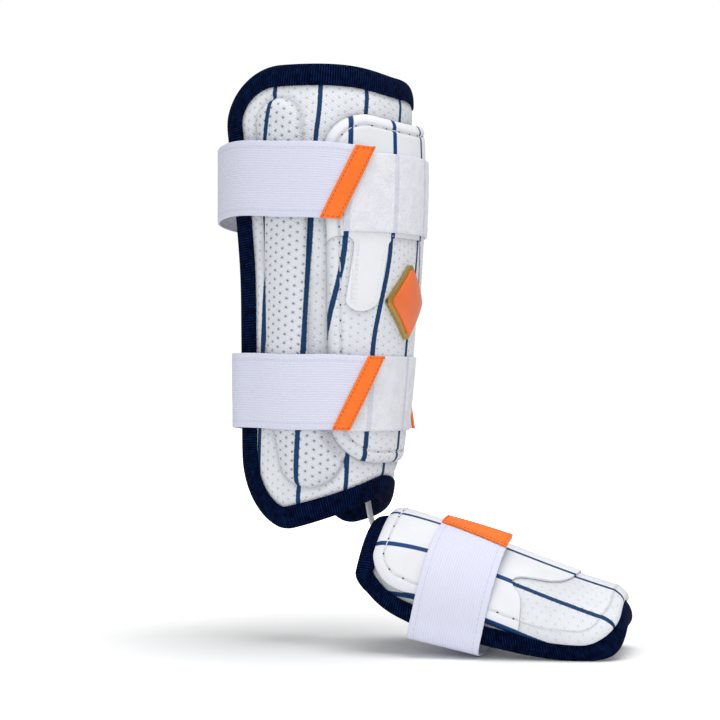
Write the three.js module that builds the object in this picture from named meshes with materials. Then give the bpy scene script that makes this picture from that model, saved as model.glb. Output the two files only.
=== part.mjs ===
// Batter's leg guard: a padded shin shell with a raised front plate and two elastic straps,
// and a foot guard with its own strap that hangs from the shell on a short elastic strip.
// Millimetres. +Z runs up the shin, -Y points out of the front of the leg, and the origin lies
// on the lining at mid height, where the shin bears on the guard.
import * as THREE from "three";

// Driving dimensions of the shin shell
const SHELL_TOP = 131.5; // top edge of the pad at the sides
const SHELL_BOTTOM = -137.5; // bottom edge of the pad at its two lobes
const SHELL_RADIUS = 48.5; // outside of the pad at mid height
const SHELL_TAPER = 0.05; // growth of that radius for each millimetre up
// How far the side panels run behind the leg's axis
const SHELL_SIDES = [
  { z: -90, reach: 30 },
  { z: -25, reach: 28.5 },
  { z: 10, reach: 28 },
  { z: 40, reach: 29.5 },
  { z: 105, reach: 35 },
];
const PAD_THICKNESS = 7;
const LINING_THICKNESS = 1.2;
const LINING_SHARE = 0.985; // of the pad's width and height
const GAP = 0.5; // between pieces that lie on each other
const LINING_INSIDE = -(PAD_THICKNESS + GAP + LINING_THICKNESS);
const LEG_AXIS_Y = SHELL_RADIUS + LINING_INSIDE;
const TOP_CORNER = { wide: 37, high: 35 };
const BOTTOM_CORNER = { wide: 32, high: 42 };
const TOP_DIP = 5; // the top edge's dip at the front
const TOP_DIP_HALF = 29;
const ANKLE_ARCH = 19; // the bottom edge's rise at the front
const ANKLE_LOBE = 66; // distance round the shell from the front to the lowest point
const ANKLE_ROUND = 6; // softens the arch's tip
const ANKLE_BOW = 1.25; // bends the arch's flanks

// Edge binding
const BINDING_WIDTH = 11;
const FOOT_BINDING_WIDTH = 9;
const BINDING_CLOTH = 1.1;
const BINDING_GAP = 1.2; // inside the fold
const EDGE_PINCH = 4; // how far the binding squeezes the pad's edge
const EDGE_SLOPE = 5; // width of the slope beside the binding

// Raised side ribs: a row for each place along the rib's spine
const RIB_HEIGHT = 6;
const RIB_CLEAR = 7; // from the front plate
const RIB_SPINE = [
  { z: 101, centre: 81, half: 13.5 },
  { z: 44, centre: 73, half: 13.5 },
  { z: -4, centre: 70, half: 13 },
  { z: -40, centre: 68, half: 13 },
  { z: -70, centre: 61, half: 15.5 },
  { z: -95, centre: 51, half: 18.5 },
];

// Front plate: half its width and the height of its crown, from the bottom up
const PLATE_GAP = 0.8; // under the plate
const PLATE_TOP_DIP = 3;
const PLATE_TOP_CORNER = { wide: 24, high: 22 };
const PLATE_BOTTOM_CORNER = { wide: 28, high: 26 };
const PLATE_DIP_FALL = 6; // how fast that dip dies out below the top edge
const PLATE_SIDE_FALL = 0.15; // share of the crown lost at the sides
const PLATE_EDGE_ROLL = 7; // width of the rolled edge
const PLATE_EDGE_DROP = 0.45; // share of the crown lost at the edge
const PLATE_SECTIONS = [
  { z: -100, half: 40, crown: 4.5 },
  { z: -60, half: 43, crown: 6.5 },
  { z: -27, half: 45.5, crown: 7.8 },
  { z: 28, half: 49, crown: 8.8 },
  { z: 70, half: 53, crown: 8.2 },
  { z: 104, half: 54.5, crown: 5.5 },
];

// Smooth overlay on the plate's upper part, with two tongues that hang below its edge
const OVERLAY_THICKNESS = 1.1;
const OVERLAY_INSET = 6; // from the plate's edge
const OVERLAY_EDGE_Z = 32;
const OVERLAY_TONGUE = { centre: 27, half: 13, tip_z: -10, bluntness: 1.6 };

// Loop bands across the plate, elastic straps and their end tags
const BAND_THICKNESS = 1.6;
const BAND_INSET = 11; // from the plate's side edges
const STRAP_WIDTH = 44;
const STRAP_THICKNESS = 1.6;
const TAG_THICKNESS = 1.4;
const TAG_GAP = 0.7;
const TAG_ARC = 10.5; // degrees of strap that a tag covers
const TAG_OVERHANG = 0.5; // degrees past the strap's end
const STRAP_UPRIGHT = { from: 80, to: 140 }; // degrees over which the straps lose the shell's taper
// The straps' loops: distance from the leg's axis at each angle from the front, and the strap's lift
const UPPER_STRAP = {
  z: 65,
  band_z: 58,
  band_width: 46,
  cut_top: 32,
  cut_bottom: 50,
  right_end_on: 16,
  loop: [
    { angle: 0, radius: 64.3, lift: -3.5 },
    { angle: 36, radius: 64.3, lift: -3 },
    { angle: 48, radius: 64.8, lift: -1.8 },
    { angle: 60, radius: 63, lift: -0.5 },
    { angle: 82, radius: 61, lift: 0.5 },
    { angle: 110, radius: 62.8, lift: 2.5 },
    { angle: 140, radius: 62.6, lift: 1 },
    { angle: 180, radius: 61, lift: -2 },
  ],
};
const LOWER_STRAP = {
  z: -58,
  band_z: -59,
  band_width: 44,
  cut_top: 22,
  cut_bottom: 43,
  right_end_on: 22,
  loop: [
    { angle: 0, radius: 56.6, lift: -1 },
    { angle: 30, radius: 56.6, lift: -1 },
    { angle: 54, radius: 54.4, lift: 0 },
    { angle: 80, radius: 53.4, lift: 0 },
    { angle: 105, radius: 54.4, lift: 1 },
    { angle: 124, radius: 57, lift: 1 },
    { angle: 145, radius: 50.2, lift: 0 },
    { angle: 180, radius: 45, lift: -1 },
  ],
};

// Badge on the plate: a plain raised diamond in a rim
const BADGE = { z: -5, half_width: 17, half_height: 23, corner: 1.5 };
const BADGE_RIM = { width: 2.9, height: 2.4 };
const BADGE_FACE_THICKNESS = 1;

// Foot guard, in its own frame: forward from its ankle end, up from the shin's origin height
const FOOT_TOE_OUT = THREE.MathUtils.degToRad(17);
const FOOT_LENGTH = 154; // along the ridge
const FOOT_TOE_START = 136; // where the toe begins to turn down
const FOOT_TOE_ROUND = 15; // radius of that turn
const FOOT_PAD_THICKNESS = 6;
const FOOT_ANKLE_CORNER = { wide: 12, high: 12 };
const FOOT_TOE_CORNERS = { inner: { wide: 22, high: 24 }, outer: { wide: 36, high: 46 } };
const FOOT_PLATE_TOE_CORNERS = { inner: { wide: 20, high: 18 }, outer: { wide: 32, high: 40 } };
const FOOT_HEEL_SWEEP = 4; // how far the ankle end's lower corners run back
const FOOT_SWEEP_FALL = 4; // how fast that sweep dies out along the foot
const FOOT_SECTIONS = [
  { forward: 0, ridge: -131.5, half: 40, edge: -168 },
  { forward: 14, ridge: -133.5, half: 42, edge: -182 },
  { forward: 32, ridge: -138.5, half: 44, edge: -190 },
  { forward: 70, ridge: -151.5, half: 45.5, edge: -199.5 },
  { forward: 114, ridge: -167, half: 44, edge: -207 },
  { forward: 154, ridge: -179, half: 39, edge: -206.5 },
];
const FOOT_PLATE_INSET = 11.5;
const FOOT_PLATE_CORNER = { wide: 14, high: 14 };
const FOOT_PLATE_SIDE_INSET = 14;
const FOOT_PLATE_TOE_INSET = 11;
const FOOT_PLATE_WIDENS = { from: 0.45, to: 0.8 }; // shares of its length
const FOOT_PLATE_CROWN = 4.5;
const FOOT_GAP = 0.9; // between the foot guard's layers
const FOOT_OVERLAY_CORNER = { wide: 8, high: 8 };
const FOOT_OVERLAY_EDGE = 72; // how far forward the smooth overlay runs
const FOOT_OVERLAY_TONGUE = { length: 22, share: 0.385 }; // beyond that edge, and of the half width
const FOOT_STRAP = {
  forward: 55,
  z: -174,
  width: 42,
  tilt: THREE.MathUtils.degToRad(13),
  cut_back: 3,
  cut_front: 17,
  right_end_on: 60,
  tag_arc: 20,
  loop: [
    { angle: 0, radius: 36.5 },
    { angle: 25, radius: 38.5 },
    { angle: 45, radius: 42 },
    { angle: 70, radius: 46 },
    { angle: 90, radius: 49.5 },
    { angle: 106, radius: 52.5 },
    { angle: 119, radius: 55.5 },
    { angle: 128, radius: 48 },
    { angle: 142, radius: 36.5 },
    { angle: 160, radius: 30 },
    { angle: 180, radius: 28.5 },
  ],
};

// Elastic strip from the lining's bottom edge to the underside of the foot guard's ankle end
const LINK_HALF_WIDTH = 3.2;
const LINK_THICKNESS = 1.4;
const LINK_ROUTE = [
  { y: 9.4, z: -84 },
  { y: 9.4, z: -112 },
  { y: 8.6, z: -132 },
  { y: 3.5, z: -142.5 },
  { y: -6, z: -142.2 },
  { y: -20, z: -143.6 },
];

const material = (color, roughness, metalness = 0) =>
  new THREE.MeshStandardMaterial({ color, roughness, metalness });
const WHITE_MESH = material(0xeef0f4, 0.8);
const WHITE_LEATHER = material(0xf4f5f7, 0.45);
const NAVY_TAPE = material(0x0b1638, 0.85);
const WHITE_ELASTIC = material(0xe6e8f4, 0.85);
const LOOP_PILE = material(0xeceef2, 0.95);
const ORANGE_TAB = material(0xff7a2a, 0.55);
const GOLD_RIM = material(0xa8862a, 0.35, 0.8);
const GREY_ELASTIC = material(0xb4b6bd, 0.85);

const { clamp, lerp, smoothstep, degToRad } = THREE.MathUtils;

// Reads one column of a short table at a place along its first column, on a smooth curve
function column(rows, key, name) {
  const curve = new THREE.CubicInterpolant(
    rows.map((row) => row[key]),
    rows.map((row) => row[name]),
    1,
  );
  const first = rows[0][key];
  const last = rows[rows.length - 1][key];
  return (at) => curve.evaluate(clamp(at, first, last))[0];
}

// Even shares of a span, and shares that gather towards both ends
const even = (count) => Array.from({ length: count + 1 }, (_, k) => k / count);
const gathered = (count) => even(count).map((t) => 0.5 - 0.5 * Math.cos(Math.PI * t));
const mirrored = (shares) => [...shares.slice(1).reverse().map((t) => -t), ...shares];

// A closed solid from triangles, turned so that its faces point out
function solid(points, triangles) {
  const volume = triangles.reduce((sum, [a, b, c]) => {
    const across = new THREE.Vector3().crossVectors(points[b], points[c]);
    return sum + points[a].dot(across);
  }, 0);
  const facing = volume < 0 ? triangles.map(([a, b, c]) => [a, c, b]) : triangles;
  const geometry = new THREE.BufferGeometry().setFromPoints(points);
  geometry.setIndex(facing.flat());
  geometry.computeVertexNormals();
  return geometry;
}

// A wall over a patch of a form. patch(s, t) gives the form's two coordinates, and outer and
// inner give how far each face stands off the form there.
function wall(form, patch, across, along, outer, inner) {
  const points = [];
  const at = (side, i, j) => side * across.length * along.length + i * along.length + j;
  for (const stand of [outer, inner]) {
    for (const s of across) {
      for (const t of along) {
        const [u, v] = patch(s, t);
        points.push(form(u, v, stand(u, v)));
      }
    }
  }
  const triangles = [];
  const span = (a, b) => points[a].distanceToSquared(points[b]);
  const quad = (a, b, c, d) =>
    span(a, c) <= span(b, d)
      ? triangles.push([a, b, c], [a, c, d])
      : triangles.push([a, b, d], [b, c, d]);
  const lastI = across.length - 1;
  const lastJ = along.length - 1;
  for (let i = 0; i < lastI; i++) {
    for (let j = 0; j < lastJ; j++) {
      quad(at(0, i, j), at(0, i + 1, j), at(0, i + 1, j + 1), at(0, i, j + 1));
      quad(at(1, i, j), at(1, i, j + 1), at(1, i + 1, j + 1), at(1, i + 1, j));
    }
    quad(at(1, i, 0), at(1, i + 1, 0), at(0, i + 1, 0), at(0, i, 0));
    quad(at(0, i, lastJ), at(0, i + 1, lastJ), at(1, i + 1, lastJ), at(1, i, lastJ));
  }
  for (let j = 0; j < lastJ; j++) {
    quad(at(0, 0, j), at(0, 0, j + 1), at(1, 0, j + 1), at(1, 0, j));
    quad(at(1, lastI, j), at(1, lastI, j + 1), at(0, lastI, j + 1), at(0, lastI, j));
  }
  return solid(points, triangles);
}

// A closed loop of one section, swept round an outline
function loop(sections) {
  const size = sections[0].length;
  const points = sections.flat();
  const triangles = [];
  sections.forEach((_, i) => {
    const next = (i + 1) % sections.length;
    for (let k = 0; k < size; k++) {
      const up = (k + 1) % size;
      const [a, b] = [i * size + k, next * size + k];
      const [c, d] = [next * size + up, i * size + up];
      triangles.push([a, b, c], [a, c, d]);
    }
  });
  return solid(points, triangles);
}

// How far a rounded corner draws in an edge, at a distance from the end of that edge
const cornerInset = ({ wide, high }, distance) =>
  distance >= high ? 0 : wide - wide * Math.sqrt(1 - (1 - Math.max(distance, 0) / high) ** 2);

// The outline of a patch, once round
function outlineOf(patch, across, along) {
  const ring = [
    ...across.map((s) => [s, along[0]]),
    ...along.slice(1).map((t) => [across[across.length - 1], t]),
    ...[...across].reverse().slice(1).map((s) => [s, along[along.length - 1]]),
    ...[...along].reverse().slice(1, -1).map((t) => [across[0], t]),
  ];
  return ring.map(([s, t]) => new THREE.Vector2(...patch(s, t)));
}

// Distance from a place on the form to an outline
function distanceTo(outline, u, v) {
  const here = new THREE.Vector2(u, v);
  const nearest = new THREE.Vector2();
  let least = Infinity;
  outline.forEach((from, i) => {
    const side = outline[(i + 1) % outline.length].clone().sub(from);
    const share = clamp(here.clone().sub(from).dot(side) / side.lengthSq(), 0, 1);
    nearest.copy(from).addScaledVector(side, share);
    least = Math.min(least, nearest.distanceTo(here));
  });
  return least;
}

// Squeeze of a padded edge at a distance from its outline
const pinchAt = (distance, width) => -EDGE_PINCH * (1 - smoothstep(distance, 0, width + EDGE_SLOPE));

// Edge binding: a folded tape that grips the edge of a padded patch from face to back
function binding(form, outline, width, back, gap) {
  const front = (inset) => pinchAt(inset, width) + gap;
  const inner = back - BINDING_GAP;
  const fold = BINDING_GAP + BINDING_CLOTH;
  const section = [
    [width, front(width) + BINDING_CLOTH],
    [0, front(0) + BINDING_CLOTH],
    [-fold, front(0) - BINDING_CLOTH],
    [-fold, back + BINDING_CLOTH],
    [0, inner - BINDING_CLOTH],
    [width, inner - BINDING_CLOTH],
    [width, inner],
    [-BINDING_GAP, inner],
    [-BINDING_GAP, front(0)],
    [width, front(width)],
  ];
  const centre = outline
    .reduce((sum, p) => sum.add(p), new THREE.Vector2())
    .divideScalar(outline.length);
  const sections = outline.map((p, i) => {
    const before = outline[(i + outline.length - 1) % outline.length];
    const after = outline[(i + 1) % outline.length];
    const run = after.clone().sub(before).normalize();
    const inward = new THREE.Vector2(-run.y, run.x);
    if (inward.dot(centre.clone().sub(p)) < 0) inward.negate();
    return section.map(([inset, stand]) => {
      const q = p.clone().addScaledVector(inward, inset);
      return form(q.x, q.y, stand);
    });
  });
  return loop(sections);
}

// The shin's form: half a round cone in front, with flat sides behind the leg's axis.
// u runs round the shell from the front, z up it, and stand is the distance off the pad's face.
const shellRadius = (z) => SHELL_RADIUS + SHELL_TAPER * z;
function shinForm(u, z, stand) {
  const radius = shellRadius(z);
  const turn = clamp(u / radius, -Math.PI / 2, Math.PI / 2);
  const behind = Math.max(Math.abs(u) - (radius * Math.PI) / 2, 0);
  const y = LEG_AXIS_Y - (radius + stand) * Math.cos(turn) + behind;
  return new THREE.Vector3((radius + stand) * Math.sin(turn), y, z);
}

// Shin pad: its outline dips at the top and arches over the foot at the bottom
const sideReach = column(SHELL_SIDES, "z", "reach");
const shellHalf = (z) => (shellRadius(z) * Math.PI) / 2 + sideReach(z);
const shellTop = (u) => SHELL_TOP - TOP_DIP * Math.exp(-((u / TOP_DIP_HALF) ** 2));
function shellBottom(u) {
  const out = Math.hypot(u, ANKLE_ROUND) - ANKLE_ROUND;
  return SHELL_BOTTOM + ANKLE_ARCH * Math.max(1 - out / ANKLE_LOBE, 0) ** ANKLE_BOW;
}
function shellPatch(s, t) {
  const z = lerp(SHELL_BOTTOM, SHELL_TOP, t);
  const corner = cornerInset(BOTTOM_CORNER, z - SHELL_BOTTOM) + cornerInset(TOP_CORNER, SHELL_TOP - z);
  const u = s * (shellHalf(z) - corner);
  return [u, lerp(shellBottom(u), shellTop(u), t)];
}

// Front plate
const plateHalf = column(PLATE_SECTIONS, "z", "half");
const plateCrown = column(PLATE_SECTIONS, "z", "crown");
const PLATE_LOW = PLATE_SECTIONS[0].z;
const PLATE_HIGH = PLATE_SECTIONS[PLATE_SECTIONS.length - 1].z;
const plateReach = (z) =>
  plateHalf(z) -
  cornerInset(PLATE_BOTTOM_CORNER, z - PLATE_LOW) -
  cornerInset(PLATE_TOP_CORNER, PLATE_HIGH - z);
function platePatch(s, t) {
  const z = lerp(PLATE_LOW, PLATE_HIGH, t);
  const dip = PLATE_TOP_DIP * t ** PLATE_DIP_FALL * Math.cos((s * Math.PI) / 2);
  return [s * plateReach(z), z - dip];
}
const PLATE_ACROSS = mirrored([0, 0.17, 0.34, 0.51, 0.68, 0.84, 0.94, 1]);
const PLATE_ALONG = [0, 0.015, 0.05, 0.12, 0.22, 0.34, 0.46, 0.58, 0.7, 0.81, 0.89, 0.95, 0.985, 1];
const plateOutline = outlineOf(platePatch, PLATE_ACROSS, PLATE_ALONG);
const rolled = (distance) => 1 - PLATE_EDGE_DROP * Math.max(1 - distance / PLATE_EDGE_ROLL, 0) ** 2;
function plateFace(u, z) {
  const across = 1 - PLATE_SIDE_FALL * (u / plateHalf(z)) ** 2;
  return PLATE_GAP + plateCrown(z) * across * rolled(distanceTo(plateOutline, u, z));
}

// Height of a side rib over the pad, nothing where the front plate lies
function ribFace(u, z) {
  let share = 1;
  RIB_SPINE.slice(1).forEach((low, i) => {
    const high = RIB_SPINE[i];
    const run = new THREE.Vector2(low.centre - high.centre, low.z - high.z);
    const here = new THREE.Vector2(Math.abs(u) - high.centre, z - high.z);
    const along = clamp(here.dot(run) / run.lengthSq(), 0, 1);
    const off = here.addScaledVector(run, -along).length();
    share = Math.min(share, off / lerp(high.half, low.half, along));
  });
  const under = z > PLATE_LOW && z < PLATE_HIGH && Math.abs(u) < plateReach(z);
  const beside = under ? 0 : distanceTo(plateOutline, u, z);
  return RIB_HEIGHT * Math.sqrt(1 - share ** 2) * smoothstep(beside, RIB_CLEAR, 2 * RIB_CLEAR);
}

const SHELL_ACROSS = mirrored([
  0, 0.09, 0.18, 0.27, 0.35, 0.42, 0.48, 0.53, 0.58, 0.63, 0.68, 0.73, 0.78, 0.83, 0.88, 0.94, 1,
]);
const SHELL_ALONG = gathered(18);
const shellOutline = outlineOf(shellPatch, SHELL_ACROSS, SHELL_ALONG);
const TAPE_ACROSS = mirrored(even(12));
const shellTape = outlineOf(shellPatch, TAPE_ACROSS, SHELL_ALONG);

const root = new THREE.Group();
const shin = new THREE.Group();
const foot = new THREE.Group();
root.add(shin, foot);
function add(group, name, geometry, finish) {
  const mesh = new THREE.Mesh(geometry, finish);
  mesh.name = name;
  group.add(mesh);
}
const flat = (stand) => () => stand;

add(
  shin,
  "shin_pad",
  wall(
    shinForm,
    shellPatch,
    SHELL_ACROSS,
    SHELL_ALONG,
    (u, z) => ribFace(u, z) + pinchAt(distanceTo(shellOutline, u, z), BINDING_WIDTH),
    flat(-PAD_THICKNESS),
  ),
  WHITE_MESH,
);
add(
  shin,
  "shin_lining",
  wall(
    shinForm,
    (s, t) => shellPatch(s * LINING_SHARE, 0.5 + (t - 0.5) * LINING_SHARE),
    mirrored(even(10)),
    gathered(8),
    flat(-PAD_THICKNESS - GAP),
    flat(LINING_INSIDE),
  ),
  NAVY_TAPE,
);
add(shin, "shin_binding", binding(shinForm, shellTape, BINDING_WIDTH, LINING_INSIDE, GAP), NAVY_TAPE);
add(
  shin,
  "shin_plate",
  wall(shinForm, platePatch, PLATE_ACROSS, PLATE_ALONG, plateFace, flat(PLATE_GAP)),
  WHITE_MESH,
);

// Smooth overlay: its lower edge hangs in two tongues with arches between them
function overlayEdge(u) {
  const { centre, half, tip_z, bluntness } = OVERLAY_TONGUE;
  const off = Math.abs(Math.abs(u) - centre) / half;
  if (off >= 1) return OVERLAY_EDGE_Z;
  const hang = 0.5 + 0.5 * Math.cos(Math.PI * off ** bluntness);
  return lerp(OVERLAY_EDGE_Z, tip_z, hang);
}
function overlayPatch(s, t) {
  const top = PLATE_HIGH - OVERLAY_INSET;
  const z = lerp(OVERLAY_EDGE_Z, top, t);
  const u = s * (plateHalf(z) - OVERLAY_INSET - cornerInset(PLATE_TOP_CORNER, top - z));
  const dip = PLATE_TOP_DIP * Math.cos((s * Math.PI) / 2);
  return [u, lerp(overlayEdge(u), top - dip, t)];
}
add(
  shin,
  "shin_overlay",
  wall(
    shinForm,
    overlayPatch,
    mirrored(even(10)),
    [0, 0.15, 0.35, 0.55, 0.72, 0.86, 0.95, 1],
    (u, z) => plateFace(u, z) + GAP + OVERLAY_THICKNESS,
    (u, z) => plateFace(u, z) + GAP,
  ),
  WHITE_LEATHER,
);

// A strap's form: a loop about the leg's axis at each angle from the front, in degrees
function strapForm({ loop: rows, z: middle }) {
  const radius = column(rows, "angle", "radius");
  const lift = column(rows, "angle", "lift");
  return (angle, z, stand) => {
    const round = Math.abs(angle);
    const taper = SHELL_TAPER * (1 - smoothstep(round, STRAP_UPRIGHT.from, STRAP_UPRIGHT.to));
    const reach = radius(round) + taper * (z - middle) + stand;
    const turn = degToRad(angle);
    const y = LEG_AXIS_Y - reach * Math.cos(turn);
    return new THREE.Vector3(reach * Math.sin(turn), y, z + lift(round));
  };
}

// A loop band on the plate, the strap that fastens on it, and the tags on the strap's two ends.
// The two ends are cut on the same slant, and the right one lies further round the leg.
function addStrap(name, strap) {
  const form = strapForm(strap);
  const cut = (t) => lerp(strap.cut_bottom, strap.cut_top, t);
  const height = (t) => strap.z + (t - 0.5) * STRAP_WIDTH;
  const bandHalf = plateReach(strap.band_z - strap.band_width / 2) - BAND_INSET;
  const left = (t) => -cut(t);
  const right = (t) => cut(1 - t) + strap.right_end_on;
  const underBand = (u, z) =>
    plateFace(u, z) + (z > OVERLAY_EDGE_Z ? 2 * GAP + OVERLAY_THICKNESS : GAP);
  add(
    shin,
    `loop_band_${name}`,
    wall(
      shinForm,
      (s, t) => [s * bandHalf, strap.band_z + (t - 0.5) * strap.band_width],
      mirrored(even(4)),
      even(4),
      (u, z) => underBand(u, z) + BAND_THICKNESS,
      underBand,
    ),
    LOOP_PILE,
  );
  add(
    shin,
    `strap_${name}`,
    wall(
      form,
      (s, t) => [lerp(right(t), 360 + left(t), s) - (s > 0.5 ? 360 : 0), height(t)],
      even(32),
      even(2),
      flat(STRAP_THICKNESS),
      flat(0),
    ),
    WHITE_ELASTIC,
  );
  const tag = (side, end, way) =>
    add(
      shin,
      `tag_${name}_${side}`,
      wall(
        form,
        (s, t) => [end(t) + way * (TAG_ARC * s - TAG_OVERHANG), height(t)],
        even(2),
        even(2),
        flat(STRAP_THICKNESS + TAG_GAP + TAG_THICKNESS),
        flat(STRAP_THICKNESS + TAG_GAP),
      ),
      ORANGE_TAB,
    );
  tag("left", left, -1);
  tag("right", right, 1);
}
addStrap("upper", UPPER_STRAP);
addStrap("lower", LOWER_STRAP);

// Badge: a diamond with blunt corners, bent to the plate
function diamond(inset) {
  const halfHeight = BADGE.half_height - inset;
  const halfWidth = BADGE.half_width - inset;
  return (s, t) => [
    s * lerp(halfWidth, BADGE.corner, Math.abs(2 * t - 1)),
    BADGE.z + (2 * t - 1) * halfHeight,
  ];
}
const BADGE_ALONG = even(6);
const badgeSeat = (u, z) => plateFace(u, z) + GAP;
const badgeFaceSeat = (u, z) => badgeSeat(u, z) + BADGE_RIM.height + GAP;
add(
  shin,
  "badge_rim",
  wall(
    shinForm,
    diamond(0),
    mirrored(even(2)),
    BADGE_ALONG,
    (u, z) => badgeSeat(u, z) + BADGE_RIM.height,
    badgeSeat,
  ),
  GOLD_RIM,
);
add(
  shin,
  "badge_face",
  wall(
    shinForm,
    diamond(BADGE_RIM.width),
    mirrored(even(2)),
    BADGE_ALONG,
    (u, z) => badgeFaceSeat(u, z) + BADGE_FACE_THICKNESS,
    badgeFaceSeat,
  ),
  ORANGE_TAB,
);

// The foot guard's form: an arch at each place forward, with w measured across it from the ridge
const toeTurn = (forward) => Math.max(forward - FOOT_TOE_START, 0) / FOOT_TOE_ROUND;
const toeDrop = (forward) => FOOT_TOE_ROUND * (1 - Math.cos(toeTurn(forward)));
const ridgeLine = column(FOOT_SECTIONS, "forward", "ridge");
const halfLine = column(FOOT_SECTIONS, "forward", "half");
const footRidge = (forward) => ridgeLine(forward) - toeDrop(forward);
const footHalf = (forward) => halfLine(forward) - toeDrop(forward);
const footEdge = column(FOOT_SECTIONS, "forward", "edge");
const footRise = (forward) => footRidge(forward) - footEdge(forward);
const footRound = (forward) => Math.hypot(footHalf(forward), footRise(forward)) / Math.SQRT2;
function footSkin(w, forward) {
  const turn = w / footRound(forward);
  const x = footHalf(forward) * Math.sin(turn);
  const z = footEdge(forward) + footRise(forward) * Math.cos(turn);
  const reach = Math.min(forward, FOOT_TOE_START) + FOOT_TOE_ROUND * Math.sin(toeTurn(forward));
  return new THREE.Vector3(x, -reach, z);
}
function footForm(w, forward, stand) {
  const step = 0.5;
  const across = footSkin(w + step, forward).sub(footSkin(w - step, forward));
  const onward = footSkin(w, forward + step).sub(footSkin(w, forward - step));
  const out = onward.cross(across).normalize();
  return footSkin(w, forward).addScaledVector(out, stand);
}
const footReach = (forward) => (footRound(forward) * Math.PI) / 2;
const toeInset = ({ inner, outer }, s, distance) => cornerInset(s > 0 ? outer : inner, distance);
function footPatch(s, t) {
  const forward = t * FOOT_LENGTH;
  const corner =
    cornerInset(FOOT_ANKLE_CORNER, forward) + toeInset(FOOT_TOE_CORNERS, s, FOOT_LENGTH - forward);
  const sweep = FOOT_HEEL_SWEEP * s ** 2 * (1 - t) ** FOOT_SWEEP_FALL;
  return [s * (footReach(forward) - corner), forward - sweep];
}
const FOOT_ACROSS = mirrored([0, 0.12, 0.24, 0.36, 0.48, 0.6, 0.71, 0.82, 0.92, 1]);
const FOOT_ALONG = gathered(15);
const footOutline = outlineOf(footPatch, FOOT_ACROSS, FOOT_ALONG);
add(
  foot,
  "foot_pad",
  wall(
    footForm,
    footPatch,
    FOOT_ACROSS,
    FOOT_ALONG,
    (w, f) => pinchAt(distanceTo(footOutline, w, f), FOOT_BINDING_WIDTH),
    flat(-FOOT_PAD_THICKNESS),
  ),
  WHITE_MESH,
);
const footTape = outlineOf(footPatch, mirrored(even(7)), FOOT_ALONG);
add(
  foot,
  "foot_binding",
  binding(footForm, footTape, FOOT_BINDING_WIDTH, -FOOT_PAD_THICKNESS, FOOT_GAP),
  NAVY_TAPE,
);

// The foot guard's plate and the smooth overlay on its ankle end
function footPlatePatch(s, t) {
  const end = FOOT_LENGTH - FOOT_PLATE_INSET;
  const forward = lerp(FOOT_PLATE_INSET, end, t);
  const edge = footReach(forward);
  const corner =
    cornerInset(FOOT_PLATE_CORNER, forward - FOOT_PLATE_INSET) +
    toeInset(FOOT_PLATE_TOE_CORNERS, s, end - forward);
  const widening = smoothstep(t, FOOT_PLATE_WIDENS.from, FOOT_PLATE_WIDENS.to);
  const inset = lerp(FOOT_PLATE_SIDE_INSET, FOOT_PLATE_TOE_INSET, widening);
  return [s * (edge - inset - corner), forward];
}
const FOOT_PLATE_ACROSS = mirrored([0, 0.2, 0.4, 0.6, 0.8, 0.93, 1]);
const FOOT_PLATE_ALONG = gathered(12);
const footPlateOutline = outlineOf(footPlatePatch, FOOT_PLATE_ACROSS, FOOT_PLATE_ALONG);
function footPlateFace(w, forward) {
  return FOOT_GAP + FOOT_PLATE_CROWN * rolled(distanceTo(footPlateOutline, w, forward));
}
add(
  foot,
  "foot_plate",
  wall(footForm, footPlatePatch, FOOT_PLATE_ACROSS, FOOT_PLATE_ALONG, footPlateFace, flat(FOOT_GAP)),
  WHITE_MESH,
);
function footOverlayPatch(s, t) {
  const back = FOOT_PLATE_INSET + OVERLAY_INSET;
  const { length, share } = FOOT_OVERLAY_TONGUE;
  const tongue = length * (0.5 + 0.5 * Math.cos(Math.PI * clamp(s / share, -1, 1)));
  const forward = lerp(back, FOOT_OVERLAY_EDGE, t);
  const corner = cornerInset(FOOT_OVERLAY_CORNER, forward - back);
  const side = footReach(forward) - FOOT_PLATE_SIDE_INSET - OVERLAY_INSET - corner;
  return [s * side, forward + tongue * t];
}
add(
  foot,
  "foot_overlay",
  wall(
    footForm,
    footOverlayPatch,
    mirrored(even(7)),
    [0, 0.08, 0.25, 0.5, 0.75, 1],
    (w, f) => footPlateFace(w, f) + FOOT_GAP + OVERLAY_THICKNESS,
    (w, f) => footPlateFace(w, f) + FOOT_GAP,
  ),
  WHITE_LEATHER,
);

// Foot strap: a loop round the foot guard and under the sole, leaning with the instep
const footStrapRadius = column(FOOT_STRAP.loop, "angle", "radius");
function footStrapForm(angle, along, stand) {
  const { forward, z, tilt } = FOOT_STRAP;
  const reach = footStrapRadius(Math.abs(angle)) + stand;
  const turn = degToRad(angle);
  const up = reach * Math.cos(turn);
  return new THREE.Vector3(
    reach * Math.sin(turn),
    -forward - along * Math.cos(tilt) - up * Math.sin(tilt),
    z - along * Math.sin(tilt) + up * Math.cos(tilt),
  );
}
const footCut = (t) => lerp(FOOT_STRAP.cut_back, FOOT_STRAP.cut_front, t);
const footAlong = (t) => (t - 0.5) * FOOT_STRAP.width;
const footLeft = (t) => -footCut(t);
const footRight = (t) => footCut(1 - t) + FOOT_STRAP.right_end_on;
add(
  foot,
  "foot_strap",
  wall(
    footStrapForm,
    (s, t) => [lerp(footRight(t), 360 + footLeft(t), s) - (s > 0.5 ? 360 : 0), footAlong(t)],
    even(44),
    even(1),
    flat(STRAP_THICKNESS),
    flat(0),
  ),
  WHITE_ELASTIC,
);
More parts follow.
